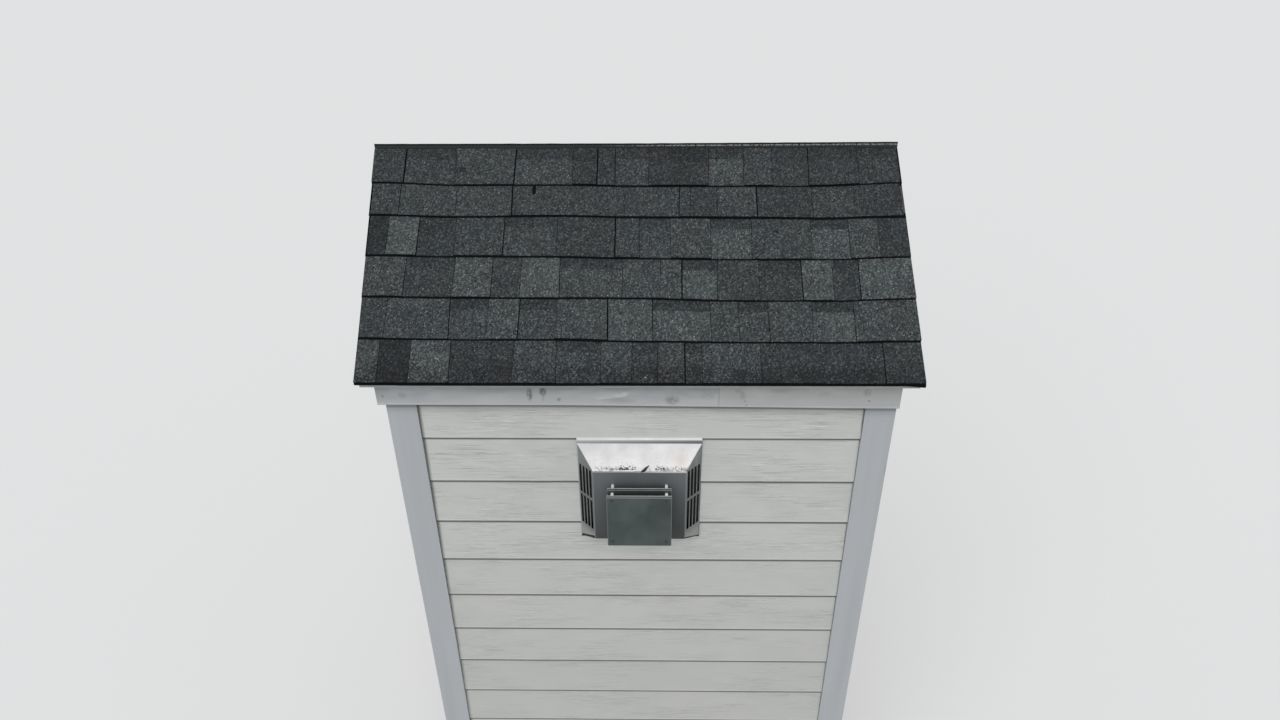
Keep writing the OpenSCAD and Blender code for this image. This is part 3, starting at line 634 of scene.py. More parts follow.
def top_sheet_finish():
    """Sheet of the cap's top, painted near white as a reflection of the bright sky, with specks, a rusty
    bloom and grime at its front edge.
    """
    made = Finish("cap_top_sheet", 0.5, 0.1, 0.45)
    edge = top_low.z
    # Painted reflection: near white for the sky seen in this sloping face, far paler than the same steel on
    # the cap's front.
    made.base(made.patches(16, 0.3, 0.7, detail=4), (226, 224, 222), (200, 200, 202))
    shade = made.blot((VENT_X - 0.16, top_high.y, top_high.z), (0.09, 0.05, 0.05), 0.2)
    made.coat((184, 185, 188), shade, 0.5)
    bloom = made.blot(RUST_PLACE, (0.030, 0.03, 0.028), 0.2)
    made.coat((205, 188, 176), bloom, 0.5)
    made.coat((92, 90, 86), made.specks(190, 0.16, 0.28), made.patches(35, 0.55, 0.62, detail=2),
              made.slope("Z", edge + 0.045, edge + 0.008, 0.25, 1.0))
    made.coat((58, 56, 52), made.slope("Z", edge + 0.020, edge + 0.008),
              made.patches(60, 0.46, 0.62, detail=4, rough=0.65), 0.8)
    hem = made.mix(made.slope("X", -0.02, 0.06), (150, 151, 150), (192, 192, 190))
    made.coat(hem, made.slope("Z", edge + 0.0065, edge + 0.0055))
    made.bump(made.noise(12, detail=2), 0.3, 0.002)
    return made.done()


def shield_finish(node, first, second):
    """Dull green-grey sheet of a heat shield, with painted highlights and a painted dark line along its
    folded top edge and painted highlights along its side edges.
    """
    made = Finish(f"{node}_sheet", 0.5, 0.25, 0.4)
    low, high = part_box(node)
    half = high.x - VENT_X
    middle = (low.y + high.y) / 2
    made.base(made.patches((12, 12, 9), 0.3, 0.7), first, second)
    # Painted highlights and shade of the folded top edge: dark on its front half, bright on its rear half and
    # on the face just below it.
    over = made.slope("Z", high.z - 0.0014, high.z - 0.0008)
    rear = made.slope("Y", middle - 0.0006, middle + 0.0006)
    face_top = made.both(made.slope("Z", high.z - 0.0046, high.z - 0.0036), made.facing((0, -1, 0)))
    made.coat((44, 49, 50), over, made.ramp(rear, 0, 1, 1.0, 0.0))
    made.coat((186, 190, 188), over, rear, 0.9)
    made.coat((150, 156, 154), face_top, 0.7)
    # Painted highlights along the side edges.
    made.coat((132, 138, 136), made.ramp(made.off_vent(), half - 0.0030, half - 0.0012), 0.5)
    made.feed(made.shader, {"Roughness": made.patches(30, 0.3, 0.7, 0.42, 0.58)})
    made.bump(made.noise(14, detail=2), 0.2, 0.001)
    return made.done()


def spacer_finish():
    """Bright tubes behind the shields, and their dull screw heads in front."""
    made = Finish("bright_spacer", 0.35)
    cloud = made.noise(90)
    face_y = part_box("shield_outer")[0].y
    made.base(made.ramp(cloud, 0.35, 0.65), (250, 250, 248), (238, 238, 235))
    made.coat((44, 50, 50), made.slope("Y", face_y + 0.0004, face_y))
    made.bump(cloud, 0.3, 0.0003)
    return made.done()


def lumber_finish(name, stretch, long_stretch):
    """Planed softwood with grain lines, darker streaks and a few knots."""
    made = Finish(name, 0.65, specular=0.3)
    ring = made.noise(stretch, distortion=0.6)
    made.base(made.ramp(ring, 0.35, 0.65), (222, 192, 146), (196, 158, 108))
    made.coat((172, 134, 92), made.patches(long_stretch, 0.5, 0.75, 0.0, 0.5, detail=2))
    made.coat((110, 74, 44), made.specks(3.5, 0.03, 0.06), 0.8)
    made.bump(ring, 0.35, 0.0008)
    return made.done()


def strand_finish(name, turn):
    """Oriented strand board: flakes of several browns, in layers that cross each other."""
    made = Finish(name, 0.6, specular=0.3)
    made.tint = (176, 136, 88)
    browns = [(200, 160, 106), (156, 114, 70), (214, 180, 128), (184, 142, 92)]
    for k, brown in enumerate(browns):
        lean = tuple(part * (0.5 + 0.8 * k) for part in turn)
        stretch = (16 + 2 * k, 16 + 2 * k, 46 + 3 * k) if k % 2 else (46 - 3 * k, 46 - 3 * k, 15 + 2 * k)
        flake = made.cells(stretch, "Color", lean)
        shade = made.mix(made.ramp(flake, 0.56, 0.95), brown, (168, 126, 80))
        made.coat(shade, made.ramp(flake, 0.52, 0.56))
        made.bump(made.ramp(flake, 0.5, 0.9), 0.25, 0.0006)
    made.coat((132, 96, 58), made.patches(240, 0.45, 0.8, 0.0, 0.3, detail=2))
    return made.done()


def concrete_finish():
    """Cast concrete with pores and a damp, darker foot."""
    made = Finish("concrete", 0.9, specular=0.2)
    cloud = made.noise(9, detail=5, rough=0.6)
    pores = made.specks(110, 0.08, 0.14)
    made.base(made.ramp(cloud, 0.3, 0.7), (172, 169, 160), (148, 146, 139))
    made.coat((96, 94, 88), pores)
    foot = made.math("ADD", made.axis("Z"), made.patches(6, 0, 1, -0.06, 0.06))
    made.coat((104, 98, 86), made.ramp(foot, 0.02, 0.09, 0.6, 0.0))
    made.bump(cloud, 0.4, 0.003)
    made.bump(made.ramp(pores, 0, 1, 1.0, 0.0), 0.5, 0.002)
    return made.done()


def floor_finish():
    """Pale floor, which throws back less light than it shows, as open ground does."""
    made = Finish("floor", 1.0, specular=0.0)
    path = made.tree.nodes.new("ShaderNodeLightPath")
    seen = made.math("MAXIMUM", path.outputs["Is Camera Ray"], path.outputs["Is Glossy Ray"])
    seen = made.math("MAXIMUM", seen, path.outputs["Is Transmission Ray"])
    made.tint = made.node("Mix", 2, {0: seen, 6: FLOOR_BOUNCE, 7: FLOOR_SEEN}, data_type="RGBA")
    return made.done()


SIDING = siding_finish()
FASCIA = fascia_finish()
SHINGLE = shingle_finish()
# Near black asphalt for the tabs' butts, the layer under them and the starter: partly the asphalt's own
# colour, partly painted shadow under each course's lower edge.
ASPHALT_AND_SHADOW = plain_finish("asphalt_edge_and_shadow", (9, 9, 10), (15, 15, 16), 0.95, specular=0.08)
UNDERLAYER = plain_finish("bare_shingle_end", (58, 56, 54), (84, 80, 76), 0.95, scale=90)
BLACK_METAL = plain_finish("dark_flashing", (18, 19, 20), (28, 29, 30), 0.6, 0.1, specular=0.3)
FLASHING = flashing_finish()
SOOT = plain_finish("soot", (8, 8, 8), (14, 13, 12), 0.9, specular=0.1)
DEBRIS = plain_finish("leaf_debris", (22, 20, 17), (48, 42, 36), 0.9, scale=200)
PALE_GRIT = plain_finish("pale_grit", (206, 206, 202), (186, 186, 180), 0.8, scale=200)

# Nodes of the frame with their finish, and the radius and segments of their edges where they are rounded
NODE_LOOKS = [
    ("slab", concrete_finish(), 0.006, 2),
    ("bottom_plates top_plates vent_blocking ledger",
     lumber_finish("lumber_across", (2.5, 90, 90), (0.8, 12, 12)), 0.003, 2),
    ("front_studs left_studs right_studs gable_studs",
     lumber_finish("lumber_upright", (90, 90, 2.5), (12, 12, 0.8)), 0.003, 2),
    ("rafters", lumber_finish("lumber_slope", (90, 6, 60), (12, 2, 8)), 0.003, 2),
    ("roof_deck", strand_finish("strand_board_deck", (0.64, 0.1, 0.6))),
    ("sheathing_front", strand_finish("strand_board_front", (0, 0.6, 0))),
    ("sheathing_left sheathing_right", strand_finish("strand_board_side", (0.6, 0, 0))),
    ("corner_board_left corner_board_right",
     trim_finish("wrapped_trim_upright", (34, 34, 1.2), (172, 176, 180), (178, 182, 186), True), 0.0018, 3),
    ("side_frieze_left side_frieze_right",
     trim_finish("wrapped_trim_slope", (20, 3, 20), (172, 176, 180), (178, 182, 186)), 0.0015, 2),
    ("soffit", trim_finish("wrapped_trim_level", (1.6, 34, 34), (166, 170, 173), (180, 183, 185))),
    ("fascia", FASCIA),
    ("drip_edge", plain_finish("pale_roof_edge", (146, 149, 150), (158, 160, 161), 0.5, 0.1)),
    ("rake_edge_left rake_edge_right head_flashing", BLACK_METAL),
    ("starter_strip", ASPHALT_AND_SHADOW),
    ("siding_front siding_left siding_right", SIDING),
    (" ".join(f"shingle_course_{k + 1}" for k in range(len(COURSE_SHOWS))), SHINGLE),
    ("vent_plate", plate_finish(), 0.0004, 2),
    ("vent_top", top_sheet_finish(), 0.0005, 2),
    ("vent_bottom", plain_finish("cap_underside", (60, 62, 62), (74, 76, 76), 0.55, 0.2)),
    ("vent_front", front_sheet_finish(), 0.0004, 2),
    ("vent_grille_left", side_sheet_finish("cap_side_left", -1), 0.0004, 2),
    ("vent_grille_right", side_sheet_finish("cap_side_right", 1), 0.0004, 2),
    ("shield_inner", shield_finish("shield_inner", (56, 62, 64), (68, 74, 76)), 0.0005, 2),
    ("shield_outer", shield_finish("shield_outer", (57, 66, 66), (81, 91, 90)), 0.0005, 2),
    ("shield_spacers", spacer_finish(), 0.0005, 2),
    ("flue_collar air_collar", plain_finish("collar_zinc", (120, 123, 124), (150, 153, 154), 0.45, 0.5, 60)),
]


def add_object(name, data):
    """New object in the scene."""
    obj = bpy.data.objects.new(name, data)
    bpy.context.scene.collection.objects.link(obj)
    return obj


class Shape:
    """Points and faces of one piece, each face with a finish number and a tone."""

    def __init__(self):
        self.points = []
        self.faces = []
        self.finishes = []
        self.tones = []

    def face(self, corners, finish=0, tone=0.5):
        self.faces.append(tuple(corners))
        self.finishes.append(finish)
        self.tones.append(tone)

    def loft(self, rings, finish=0, tone=0.5, finishes=None, tones=None):
        """Closed solid through rings of points. Its strips may have their own finishes and tones."""
        base = len(self.points)
        size = len(rings[0])
        for ring in rings:
            self.points.extend(ring)
        for row in range(len(rings) - 1):
            for k in range(size):
                a = base + row * size + k
                b = base + row * size + (k + 1) % size
                strip_finish = finishes[k] if finishes else finish
                strip_tone = tones[k] if tones else tone
                self.face((a, b, b + size, a + size), strip_finish, strip_tone)
        for first in (base, base + (len(rings) - 1) * size):
            self.face(range(first, first + size), finish, tone)

    def tube(self, path, radii):
        """Round stick through a path of points, with a radius at each."""
        sides = 7
        rings = []
        for k, point in enumerate(path):
            ahead = (path[min(k + 1, len(path) - 1)] - path[max(k - 1, 0)]).normalized()
            side = ahead.cross(Vector((0.31, 0.11, 0.94))).normalized()
            up = side.cross(ahead)
            turns = [2 * math.pi * j / sides for j in range(sides)]
            rings.append([point + radii[k] * (math.cos(a) * side + math.sin(a) * up) for a in turns])
        self.loft(rings)

    def flake(self, centre, size, chance, finish=0):
        """Small uneven chip: a bent and twisted wedge with corners all round it."""
        corners = 5
        turn = chance.uniform(0, math.pi)
        half = Vector((0, 0, size * chance.uniform(0.15, 0.45)))
        middle = len(self.points)
        self.points.extend((centre + half, centre - half))
        for j in range(corners):
            a = turn + 2 * math.pi * j / corners
            reach = size * chance.uniform(0.35, 1.0)
            self.points.append(centre + Vector((
                reach * math.cos(a), reach * math.sin(a) * 0.5, size * chance.uniform(-0.2, 0.2))))
        for j in range(corners):
            a = middle + 2 + j
            b = middle + 2 + (j + 1) % corners
            self.face((middle, a, b), finish)
            self.face((middle + 1, b, a), finish)


def make_piece(name, shape, materials, replaced=(), smooth_angle=35):
    """Mesh object from a shape, riding on the part's one body."""
    mesh = bpy.data.meshes.new(name)
    mesh.from_pydata([tuple(p) for p in shape.points], [], shape.faces)
    for material in materials:
        mesh.materials.append(material)
    mesh.polygons.foreach_set("material_index", shape.finishes)
    mesh.attributes.new("tone", "FLOAT", "FACE").data.foreach_set("value", shape.tones)
    work = bmesh.new()
    work.from_mesh(mesh)
    bmesh.ops.recalc_face_normals(work, faces=work.faces)
    work.to_mesh(mesh)
    work.free()
    mesh.polygons.foreach_set("use_smooth", [True] * len(mesh.polygons))
    mesh.set_sharp_from_angle(angle=math.radians(smooth_angle))
    obj = add_object(name, mesh)
    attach(obj, "root")
    if replaced:
        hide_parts(*replaced)


def steps(low, high, pitch):
    """Evenly spaced values from low to high, about a pitch apart."""
    count = max(1, round((high - low) / pitch))
    return [low + (high - low) * k / count for k in range(count + 1)]


def between(first, last, share):
    """Value at a share of the way from first to last."""
    return first * (1 - share) + last * share


def uneven(size, *place):
    """Smooth random height of about a size, at a place given by three numbers."""
    return size * noise.noise(Vector(place))


def frieze_edge(y):
    """Height of the frieze's lower edge at depth y."""
    plumb_h = RAFTER_D / math.cos(ROOF_ANGLE)
    return FRIEZE_TOP - plumb_h + y * math.tan(ROOF_ANGLE) - FRIEZE_GAP


def board_ring(place, s, foot, top, number):
    """Outline of a lapped board at distance s along it: back, rounded lower edge and face."""
    lean = BOARD_T / BOARD_H
    foot = foot + uneven(0.0006, s * 2.2, number * 3.7, 1.5)
    points = [(BOARD_T, foot + 0.0004)]
    for turn in (0, 30, 60, 90):
        a = math.radians(turn)
        points.append((2 * BOARD_T - BUTT_ROUND * (1 - math.sin(a)), foot + BUTT_ROUND * (1 - math.cos(a))))
    for z in steps(foot + BUTT_ROUND * 2, top, BOARD_ROW):
        relief = uneven(0.00008, s * 5, z * 45, number * 2.3)
        points.append((2 * BOARD_T - lean * (z - foot) + relief, z))
    points.append((BOARD_T - lean * (top - foot), top))
    return [place(s, out, z) for out, z in points]


def add_board(shape, place, s0, s1, foot, top_of, number, tone):
    """One board from s0 to s1, with its top cut to a height that varies along it."""
    size = len(steps(foot + BUTT_ROUND * 2, foot + BOARD_H, BOARD_ROW)) + 6
    rings = []
    for s in steps(s0, s1, BOARD_COLUMN):
        top = min(foot + BOARD_H, top_of(s))
        ring = board_ring(place, s, foot, max(top, foot + 0.006), number)
        while len(ring) < size:
            ring.insert(-1, ring[-2].copy())
        rings.append(ring[:size - 1] + [ring[-1]])
    shape.loft(rings, tone=tone)


def add_siding(word, seed, number, step, peak, place, spans_at, top_of):
    """Boards of one wall from its foot up to its peak, each with a tone of its own."""
    shape = Shape()
    chance = random.Random(seed)
    foot = SIDING_FOOT
    while foot < peak - LEAST_BOARD:
        tone = chance.random() * BOARD_TONES
        for start, end in spans_at(foot):
            add_board(shape, place, start, end, foot, top_of, number, tone)
        foot += EXPOSURE
        number += step
    make_piece(f"siding_boards_{word}", shape, [SIDING], [f"siding_{word}"])


def front_boards():
    """Siding of the front, with the boards behind the vent's plate cut round its pipe."""

    def place(s, out, z):
        return Vector((s, SHEATH_Y - out, z))

    def spans_at(foot):
        if VENT_Z - VENT_HOLE - EXPOSURE < foot < VENT_Z + VENT_HOLE:
            return [(front_low.x, VENT_X - VENT_HOLE), (VENT_X + VENT_HOLE, front_high.x)]
        return [(front_low.x, front_high.x)]

    def top_of(s):
        return SOFFIT_Z

    add_siding("front", 3, 0, 1, SOFFIT_Z, place, spans_at, top_of)


def side_boards(side, word):
    """Siding of one side, cut to the slope of the frieze."""
    peak = frieze_edge(0)

    def place(s, out, z):
        return Vector((side * (SHEATH_X + out), s, z))

    def spans_at(foot):
        start = SIDE_FRONT
        if frieze_edge(SIDE_FRONT) < foot + LEAST_BOARD:
            start = (foot + LEAST_BOARD - peak) / math.tan(ROOF_ANGLE)
        return [(start, -0.0005)]

    add_siding(word, 5 + side, 20 + side, 2, peak, place, spans_at, frieze_edge)


def swell(value, middle, half):
    """Share from 1 in the middle to 0 at half a width on either side."""
    return max(0.0, 1 - ((value - middle) / half) ** 2)


def bell(value, middle, half):
    """Share from 1 in the middle that fades away on either side."""
    return math.exp(-((value - middle) / half) ** 2)


def fascia_relief(x, z):
    """Depth of the fascia's face behind its lowest fold: buckles, a crescent ridge and a shallow dent."""
    level = 0.0024 - uneven(0.0009, x * 5.0, z * 9, 2.2) - uneven(0.0006, x * 16, z * 20, 7.1)
    ridge_x, ridge_z = RIDGE_MIDDLE
    ridge_z += RIDGE_TILT * (x - ridge_x)
    reach = swell(x, ridge_x, RIDGE_HALF)
    level -= 0.0030 * reach * bell(z, ridge_z, 0.008)
    level += 0.0022 * reach * bell(z, ridge_z - 0.017, 0.007)
    dent_x, dent_z = FASCIA_DENT
    level += 0.0012 * swell(x, dent_x, 0.19) * bell(z, dent_z, 0.014)
    return min(max(level, 0.0), 0.005)


def fascia_board():
    """Wrapped fascia with a folded lower edge, buckled and dented."""
    shape = Shape()
    face_y = fascia_low.y
    top_front = fascia_high.z - (fascia_high.y - face_y) * math.tan(ROOF_ANGLE)
    fold = fascia_low.z + FASCIA_FOLD
    rings = []
    for x in steps(fascia_low.x, fascia_high.x, FASCIA_COLUMN):
        rise = along(FASCIA_RISE, x)
        foot = fascia_low.z + rise
        ring = [(fascia_high.y, foot), (face_y + 0.0004, foot), (face_y, foot + 0.0006),
                (face_y, foot + 0.0037)]
        for z in steps(fold, top_front, FASCIA_ROW):
            share = (top_front - z) / (top_front - fold)
            ring.append((face_y + fascia_relief(x, z), z + rise * share))
        ring.append((fascia_high.y, fascia_high.z))
        rings.append([Vector((x, y, z)) for y, z in ring])
    shape.loft(rings)
    make_piece("fascia_wrap", shape, [FASCIA], ["fascia"], smooth_angle=50)


def course_start(i):
    """Distance up the slope of a course's straight lower edge."""
    return -SHINGLE_OVER + sum(COURSE_SHOWS[:i])


def course_lift(i):
    """Height of a course's lower edge, which rests on the course below."""
    if i == 0:
        return SHINGLE_LIFT
    return course_lift(i - 1) + SHINGLE_T - LEAN * COURSE_SHOWS[i - 1]


def course_base(i, u):
    """Height over the deck of a course's underside at u up the slope."""
    return EDGE_T + course_lift(i) - LEAN * (u - course_start(i))


def roof_left(u):
    """Left end of the shingles at u up the slope."""
    return WALL_LEFT + LEFT_FLARE * (1 - max(u, 0) / ROOF_LEN)


def roof_right(u):
    return EAVE_RIGHT - RIGHT_TAPER * max(u, 0) / ROOF_LEN


def wander(i, x):
    """Rise of a course's lower edge over a straight line, eased between its marks."""
    marks = COURSE_WANDER[i]
    share = (x - roof_left(0)) / (roof_right(0) - roof_left(0)) * (len(marks) - 1)
    share = min(max(share, 0), len(marks) - 1.001)
    k = int(share)
    ease = (1 - math.cos(math.pi * (share - k))) / 2
    return between(marks[k], marks[k + 1], ease) * MM


def course_front(i, x, shift=0.0):
    """Distance up the slope of the tabs' lower edges at x."""
    lowest = FRONT_STEP if i == 0 else -WANDER_LIMIT
    return course_start(i) + max(wander(i, x) + shift, lowest)


def course_end(i, x):
    """Distance up the slope at which the next course, or the wall, covers a course."""
    if i + 1 < len(COURSE_SHOWS):
        return course_start(i + 1) + wander(i + 1, x) + 0.002
    return ROOF_LEN - WALL_CLEAR


def band_rows(length):
    """Rows in the dark band at the top of a tab, as shares of the tab's length."""
    return steps(1 - (SHADOW_BAND - BAND_EASE) / length, 1.0, BAND_ROW)


def tab_ring(left_edge, right_edge, share, i, number, words, shift):
    """Outline across a tab, at a share of its width: butt, face rows, dark top and upper end."""

    def across(f):
        return between(left_edge(f), right_edge(f), share)

    middle = across(0.5)
    front = course_front(i, middle, uneven(0.0007, middle * 14, i * 9.1, 0.3) + shift)
    length = course_end(i, middle) - front
    proud = 0.0 if "sunk" in words else TAB_T

    def point(f, n, back=0.0):
        u = front + f * length
        return roof_point(across(f), u + back, course_base(i, u) + n)

    ring = [point(0, 0.0002, 0.0004), point(0, SHINGLE_T + proud - 0.0014)]
    for f in [0.012] + steps(FIRST_ROW, 1 - SHADOW_BAND / length, TAB_ROW) + band_rows(length):
        u = front + f * length
        step = proud * (1 - 0.6 * f)
        if "lapped" in words and u > LAP_PLACE:
            step += LAP_STEP
        ring.append(point(f, SHINGLE_T + step + uneven(0.0005, across(f) * 55, u * 55, number)))
    ring.append(point(1, 0))
    return ring


def add_tab(shape, i, number, left_edge, right_edge, words, chance):
    """One tab between two side edges."""
    shift = chance.uniform(-0.0016, 0.0016)
    width = right_edge(0.5) - left_edge(0.5)
    rings = [tab_ring(left_edge, right_edge, share, i, number, words, shift)
             for share in steps(0, 1, TAB_COLUMN / max(width, TAB_COLUMN))]
    size = min(len(ring) for ring in rings)
    for ring in rings:
        while len(ring) > size:
            ring.pop(size // 2)
    blend = BLENDS.get(words[0] if words else "", BLENDS["plain"])
    level = min(max(blend + chance.uniform(-0.05, 0.05) + COURSE_TONES[i], 0.04), 1.0)
    tones = [level] * size
    if "sunk" in words:
        dark = len(band_rows(course_end(i, 0) - course_start(i))) + 1
        tones[size - dark:] = [min(SUNK_TONE, level)] * dark
    if "lapped" in words:
        upper = size - size // 2 - 1
        tones[size - upper:] = [max(0.05, level - 0.12)] * upper
    # The butt and back strips take the near black finish, partly painted shadow.
    finishes = [1] + [0] * (size - 2) + [1]
    shape.loft(rings, 1, level, finishes, tones)


def add_bare_end(shape, i):
    """Bare brownish strip of the under-layer, where the tabs stop short at the right end."""
    start = course_start(i)
    rings = []
    inner, outer = BARE_SIDES
    for u in (start + 0.010, start + COURSE_SHOWS[i]):
        n = course_base(i, u) + SHINGLE_T - BARE_DEPTH
        corners = ((inner, n), (outer, n), (outer, n + BARE_T), (inner, n + BARE_T))
        rings.append([roof_point(roof_right(u) - inset, u, height) for inset, height in corners])
    shape.loft(rings, 2)


def add_under_layer(shape, i):
    """Near black layer under a course's tabs, which shows in its joints and, as a painted shadow line, below
    its lower edges.
    """
    start = course_start(i)
    thick = SHINGLE_T - 0.002
    rings = []
    for share in steps(0, 1, UNDER_COLUMNS):
        x0 = between(roof_left(start) + 0.001, roof_right(start) - 0.001, share)
        u0 = course_front(i, x0) - FRONT_STEP
        u1 = course_end(i, x0) + (0.02 if i + 1 < len(COURSE_SHOWS) else 0.0)
        ring = []
        for u, n in ((u0, 0.0), (u0, thick), (u1, thick), (u1, 0.0), (min(u0 + 0.009, u1), 0.0)):
            x = between(roof_left(u) + 0.0008, roof_right(u) - 0.0008, share)
            ring.append(roof_point(x, u, course_base(i, u) + n))
        if i == 0:
            ring[0].z -= along(EAVE_DROOP, x0)
        rings.append(ring)
    shape.loft(rings, 1)


def shingle_course(i):
    """One course of shingles: a dark under-layer, and tabs with gaps and open joints."""
    shape = Shape()
    chance = random.Random(70 + i)
    start = course_start(i)
    inset_left, inset_right = END_INSETS[i]
    add_under_layer(shape, i)
    if i == BARE_END:
        add_bare_end(shape, i)
    tabs = [text.split() for text in COURSE_TABS[i].split(",")]
    edges = []
    x = roof_left(start + COURSE_SHOWS[i] / 2)
    for width, *words in tabs:
        edges.append(x)
        x += int(width) * MM
    leans = [chance.uniform(-0.004, 0.004) for _ in edges]

    def left_end(f):
        return roof_left(start + f * COURSE_SHOWS[i]) + inset_left * MM

    def right_end(f):
        return roof_right(start + f * COURSE_SHOWS[i]) - inset_right * MM

    def side_edge(k, gap):
        def edge(f):
            return edges[k] + leans[k] * (f - 0.5) + gap
        return edge

    for k, (width, *words) in enumerate(tabs):
        gap = TAB_GAP
        if "jointed" in words:
            gap = JOINT_GAP + chance.uniform(-0.0004, 0.0006)
        if "open" in words:
            gap = OPEN_GAP
        left_edge = left_end if k == 0 else side_edge(k, gap)
        right_edge = right_end if k == len(edges) - 1 else side_edge(k + 1, 0.0)
        add_tab(shape, i, k, left_edge, right_edge, words, chance)
    number = i + 1
    make_piece(f"shingle_tabs_{number}", shape, [SHINGLE, ASPHALT_AND_SHADOW, UNDERLAYER],
               [f"shingle_course_{number}"])


def on_roof(x, u, over):
    """Point over the tabs' faces, at a place on the roof."""
    for i in reversed(range(len(COURSE_SHOWS))):
        if u > course_start(i) + wander(i, x):
            return roof_point(x, u, course_base(i, u) + SHINGLE_T + TAB_T + over)
    return roof_point(x, u, EDGE_T + over)


def roof_litter():
    """Twig, grit and a drip of sealant that lie on the shingles."""
    shape = Shape()
    chance = random.Random(11)
    twig = [on_roof(x * MM, u * MM, 0.0006) for x, u in TWIG_ON_ROOF]
    shape.tube(twig, [0.0010, 0.0016, 0.0017, 0.0014, 0.0008])
    for x, u, size in PALE_BITS:
        shape.flake(on_roof(x * MM, u * MM, 0.0005), size * 0.6 * MM, chance, finish=1)
    x, u, width, length = (value * MM for value in SEALANT_DRIP)
    rings = []
    for share in steps(0, 1, 0.2):
        middle = on_roof(x, u + share * length, -0.0004)
        rise = on_roof(x, u + share * length, 0.0012) - middle
        half = Vector((width / 2 * (0.8 + 0.2 * share), 0, 0))
        rings.append([middle - half, middle + half, middle + rise + half * 0.8, middle + rise - half * 0.8])
    shape.loft(rings, 2)
    make_piece("roof_litter", shape, [DEBRIS, PALE_GRIT, SOOT])


def cap_top_z(y):
    """Height of the cap's sloping top at depth y."""
    hem_top = top_low.z + TOP_HEM
    share = (y - top_low.y) / (top_high.y - top_low.y)
    return hem_top + share * (top_high.z - hem_top)


def on_cap(x, back, over):
    """Point over the cap's top, at a distance back from its front edge."""
    y = top_low.y + back
    return Vector((x, y, cap_top_z(y) + over))


def cap_litter():
    """Leaf crumbs and a twig along the front edge of the cap's top."""
    shape = Shape()
    chance = random.Random(23)
    for low, high, count, size in CAP_HEAPS:
        for _ in range(count):
            x = chance.uniform(low * MM, high * MM)
            place = on_cap(x, 0.0006 + abs(chance.gauss(0, 0.0035)), 0.0004)
            shape.flake(place, size * chance.uniform(0.9, 2.2) * MM, chance)
    for _ in range(30):
        x = chance.uniform(*CRUMB_RANGE)
        place = on_cap(x, chance.uniform(0.004, 0.024), 0.0003)
        shape.flake(place, chance.uniform(0.9, 2.0) * MM, chance)
    twig = [Vector((0.001, top_low.y - 0.0022, 2.5895)), Vector((0.010, top_low.y - 0.0008, 2.5935)),
            on_cap(0.018, 0.004, 0.0015), on_cap(0.027, 0.0085, 0.0015)]
    shape.tube(twig, [0.0018, 0.0044, 0.0034, 0.0010])
    make_piece("cap_litter", shape, [DEBRIS])


def flashing_angle():
    """Dark metal angle along the wall over the last course, with an uneven upper edge."""
    shape = Shape()
    foot = flashing_low.z + 0.02
    rings = []
    for x in steps(flashing_low.x, flashing_high.x, FLASHING_COLUMN):
        top = flashing_high.z - along(UPSTAND_SINK, x) + uneven(0.0006, x * 22, 4.0, 1.0)
        rings.append([Vector((x, y, z)) for y, z in ((0, foot), (0, top), (-EDGE_T, top), (-EDGE_T, foot))])
    shape.loft(rings)
    start = ROOF_LEN - FLASHING_LEG
    leg = ((start, 0), (ROOF_LEN, 0), (ROOF_LEN, EDGE_T), (start, EDGE_T))
    shape.loft([[roof_point(x, u, n) for u, n in leg]
                for x in (flashing_low.x + LEG_SHORT_LEFT, flashing_high.x - LEG_SHORT_RIGHT)])
    make_piece("flashing_angle", shape, [FLASHING], ["head_flashing"])


def rake_metal(side, word):
    """Metal angle along an end of the roof, whose face tapers towards the eave."""
    shape = Shape()
    node = f"rake_edge_{word}"
    if side < 0:
        eave_x = drip_low.x + EDGE_T
        wall_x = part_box(node)[0].x + EDGE_T
    else:
        eave_x = drip_high.x - EDGE_T
        wall_x = eave_x - RIGHT_TAPER
    rings = []
    for u in [0.0, 0.02, 0.05, RAKE_TAPER] + steps(0.12, ROOF_LEN, 0.06):
        x = eave_x + (wall_x - eave_x) * u / ROOF_LEN
        drop = RAKE_FACE - (RAKE_FACE - RAKE_END) * max(0.0, 1 - u / RAKE_TAPER)
        outer = x + side * EDGE_T
        inner = x - side * RAKE_LEG
        profile = ((inner, 0), (x, 0), (x, -drop), (outer, -drop), (outer, EDGE_T), (inner, EDGE_T))
        ring = [roof_point(corner_x, u, out) for corner_x, out in profile]
        for corner in ring:
            corner.y = min(corner.y, 0.0)
        rings.append(ring)
    shape.loft(rings)
    make_piece(f"rake_metal_{word}", shape, [BLACK_METAL], [node])


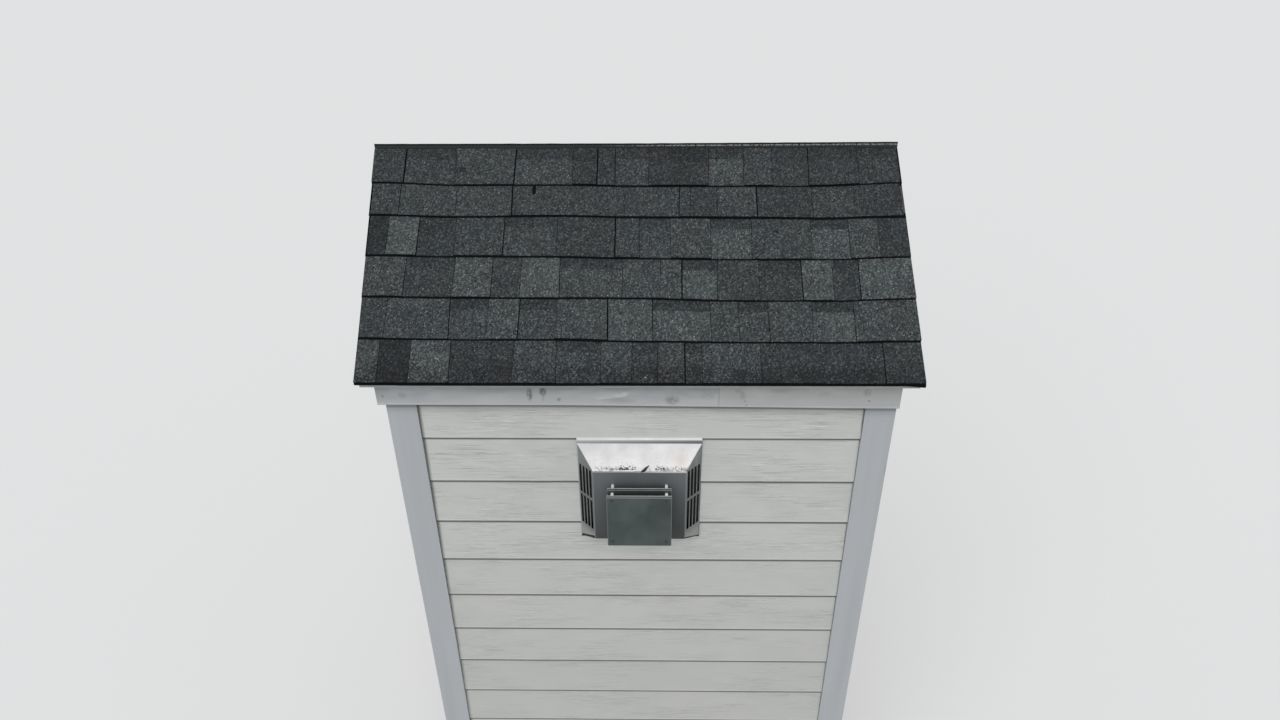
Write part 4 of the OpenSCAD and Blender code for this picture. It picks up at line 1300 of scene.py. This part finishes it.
def dress_frame():
    """Gives each frame node its finish, and rounds its edges where that is asked."""
    for names, material, *rounding in NODE_LOOKS:
        for name in names.split():
            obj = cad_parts[name]
            obj.data.materials.clear()
            obj.data.materials.append(material)
            if rounding:
                edges = obj.modifiers.new("edges", "BEVEL")
                edges.width, edges.segments = rounding
                edges.limit_method = "ANGLE"
                edges.angle_limit = math.radians(40)


def add_camera():
    """Camera at the real one's place and angle."""
    data = bpy.data.cameras.new("camera")
    data.sensor_width = SENSOR
    data.lens = FOCAL_PX / FRAME_PX * SENSOR
    data.clip_end = VIEW_REACH
    turn = (Matrix.Rotation(-CAMERA_YAW, 4, "Z") @ Matrix.Rotation(math.pi / 2 - CAMERA_PITCH, 4, "X")
            @ Matrix.Rotation(CAMERA_ROLL, 4, "Z"))
    camera = add_object("camera", data)
    camera.matrix_world = Matrix.Translation(CAMERA_PLACE) @ turn
    bpy.context.scene.camera = camera


def add_floor():
    """Level floor under the part."""
    corners = [(x * FLOOR_HALF, y * FLOOR_HALF, 0) for x, y in ((-1, -1), (1, -1), (1, 1), (-1, 1))]
    mesh = bpy.data.meshes.new("floor")
    mesh.from_pydata(corners, [], [(0, 1, 2, 3)])
    mesh.materials.append(floor_finish())
    obj = add_object("floor", mesh)


def add_light():
    """Even pale sky, and one wide soft lamp from above the front."""
    world = bpy.data.worlds.new("sky")
    world.use_nodes = True
    ground = world.node_tree.nodes["Background"]
    ground.inputs["Color"].default_value = SKY_COLOUR
    ground.inputs["Strength"].default_value = SKY_STRENGTH
    bpy.context.scene.world = world
    data = bpy.data.lights.new("soft_sun", "SUN")
    data.energy = SUN_STRENGTH
    data.angle = SUN_SPREAD
    add_object("soft_sun", data).rotation_euler = SUN_TURN
    bpy.context.scene.view_settings.view_transform = "Standard"


add_camera()
add_floor()
add_light()
dress_frame()
front_boards()
side_boards(-1, "left")
side_boards(1, "right")
fascia_board()
for course in range(len(COURSE_SHOWS)):
    shingle_course(course)
roof_litter()
cap_litter()
flashing_angle()
rake_metal(-1, "left")
rake_metal(1, "right")
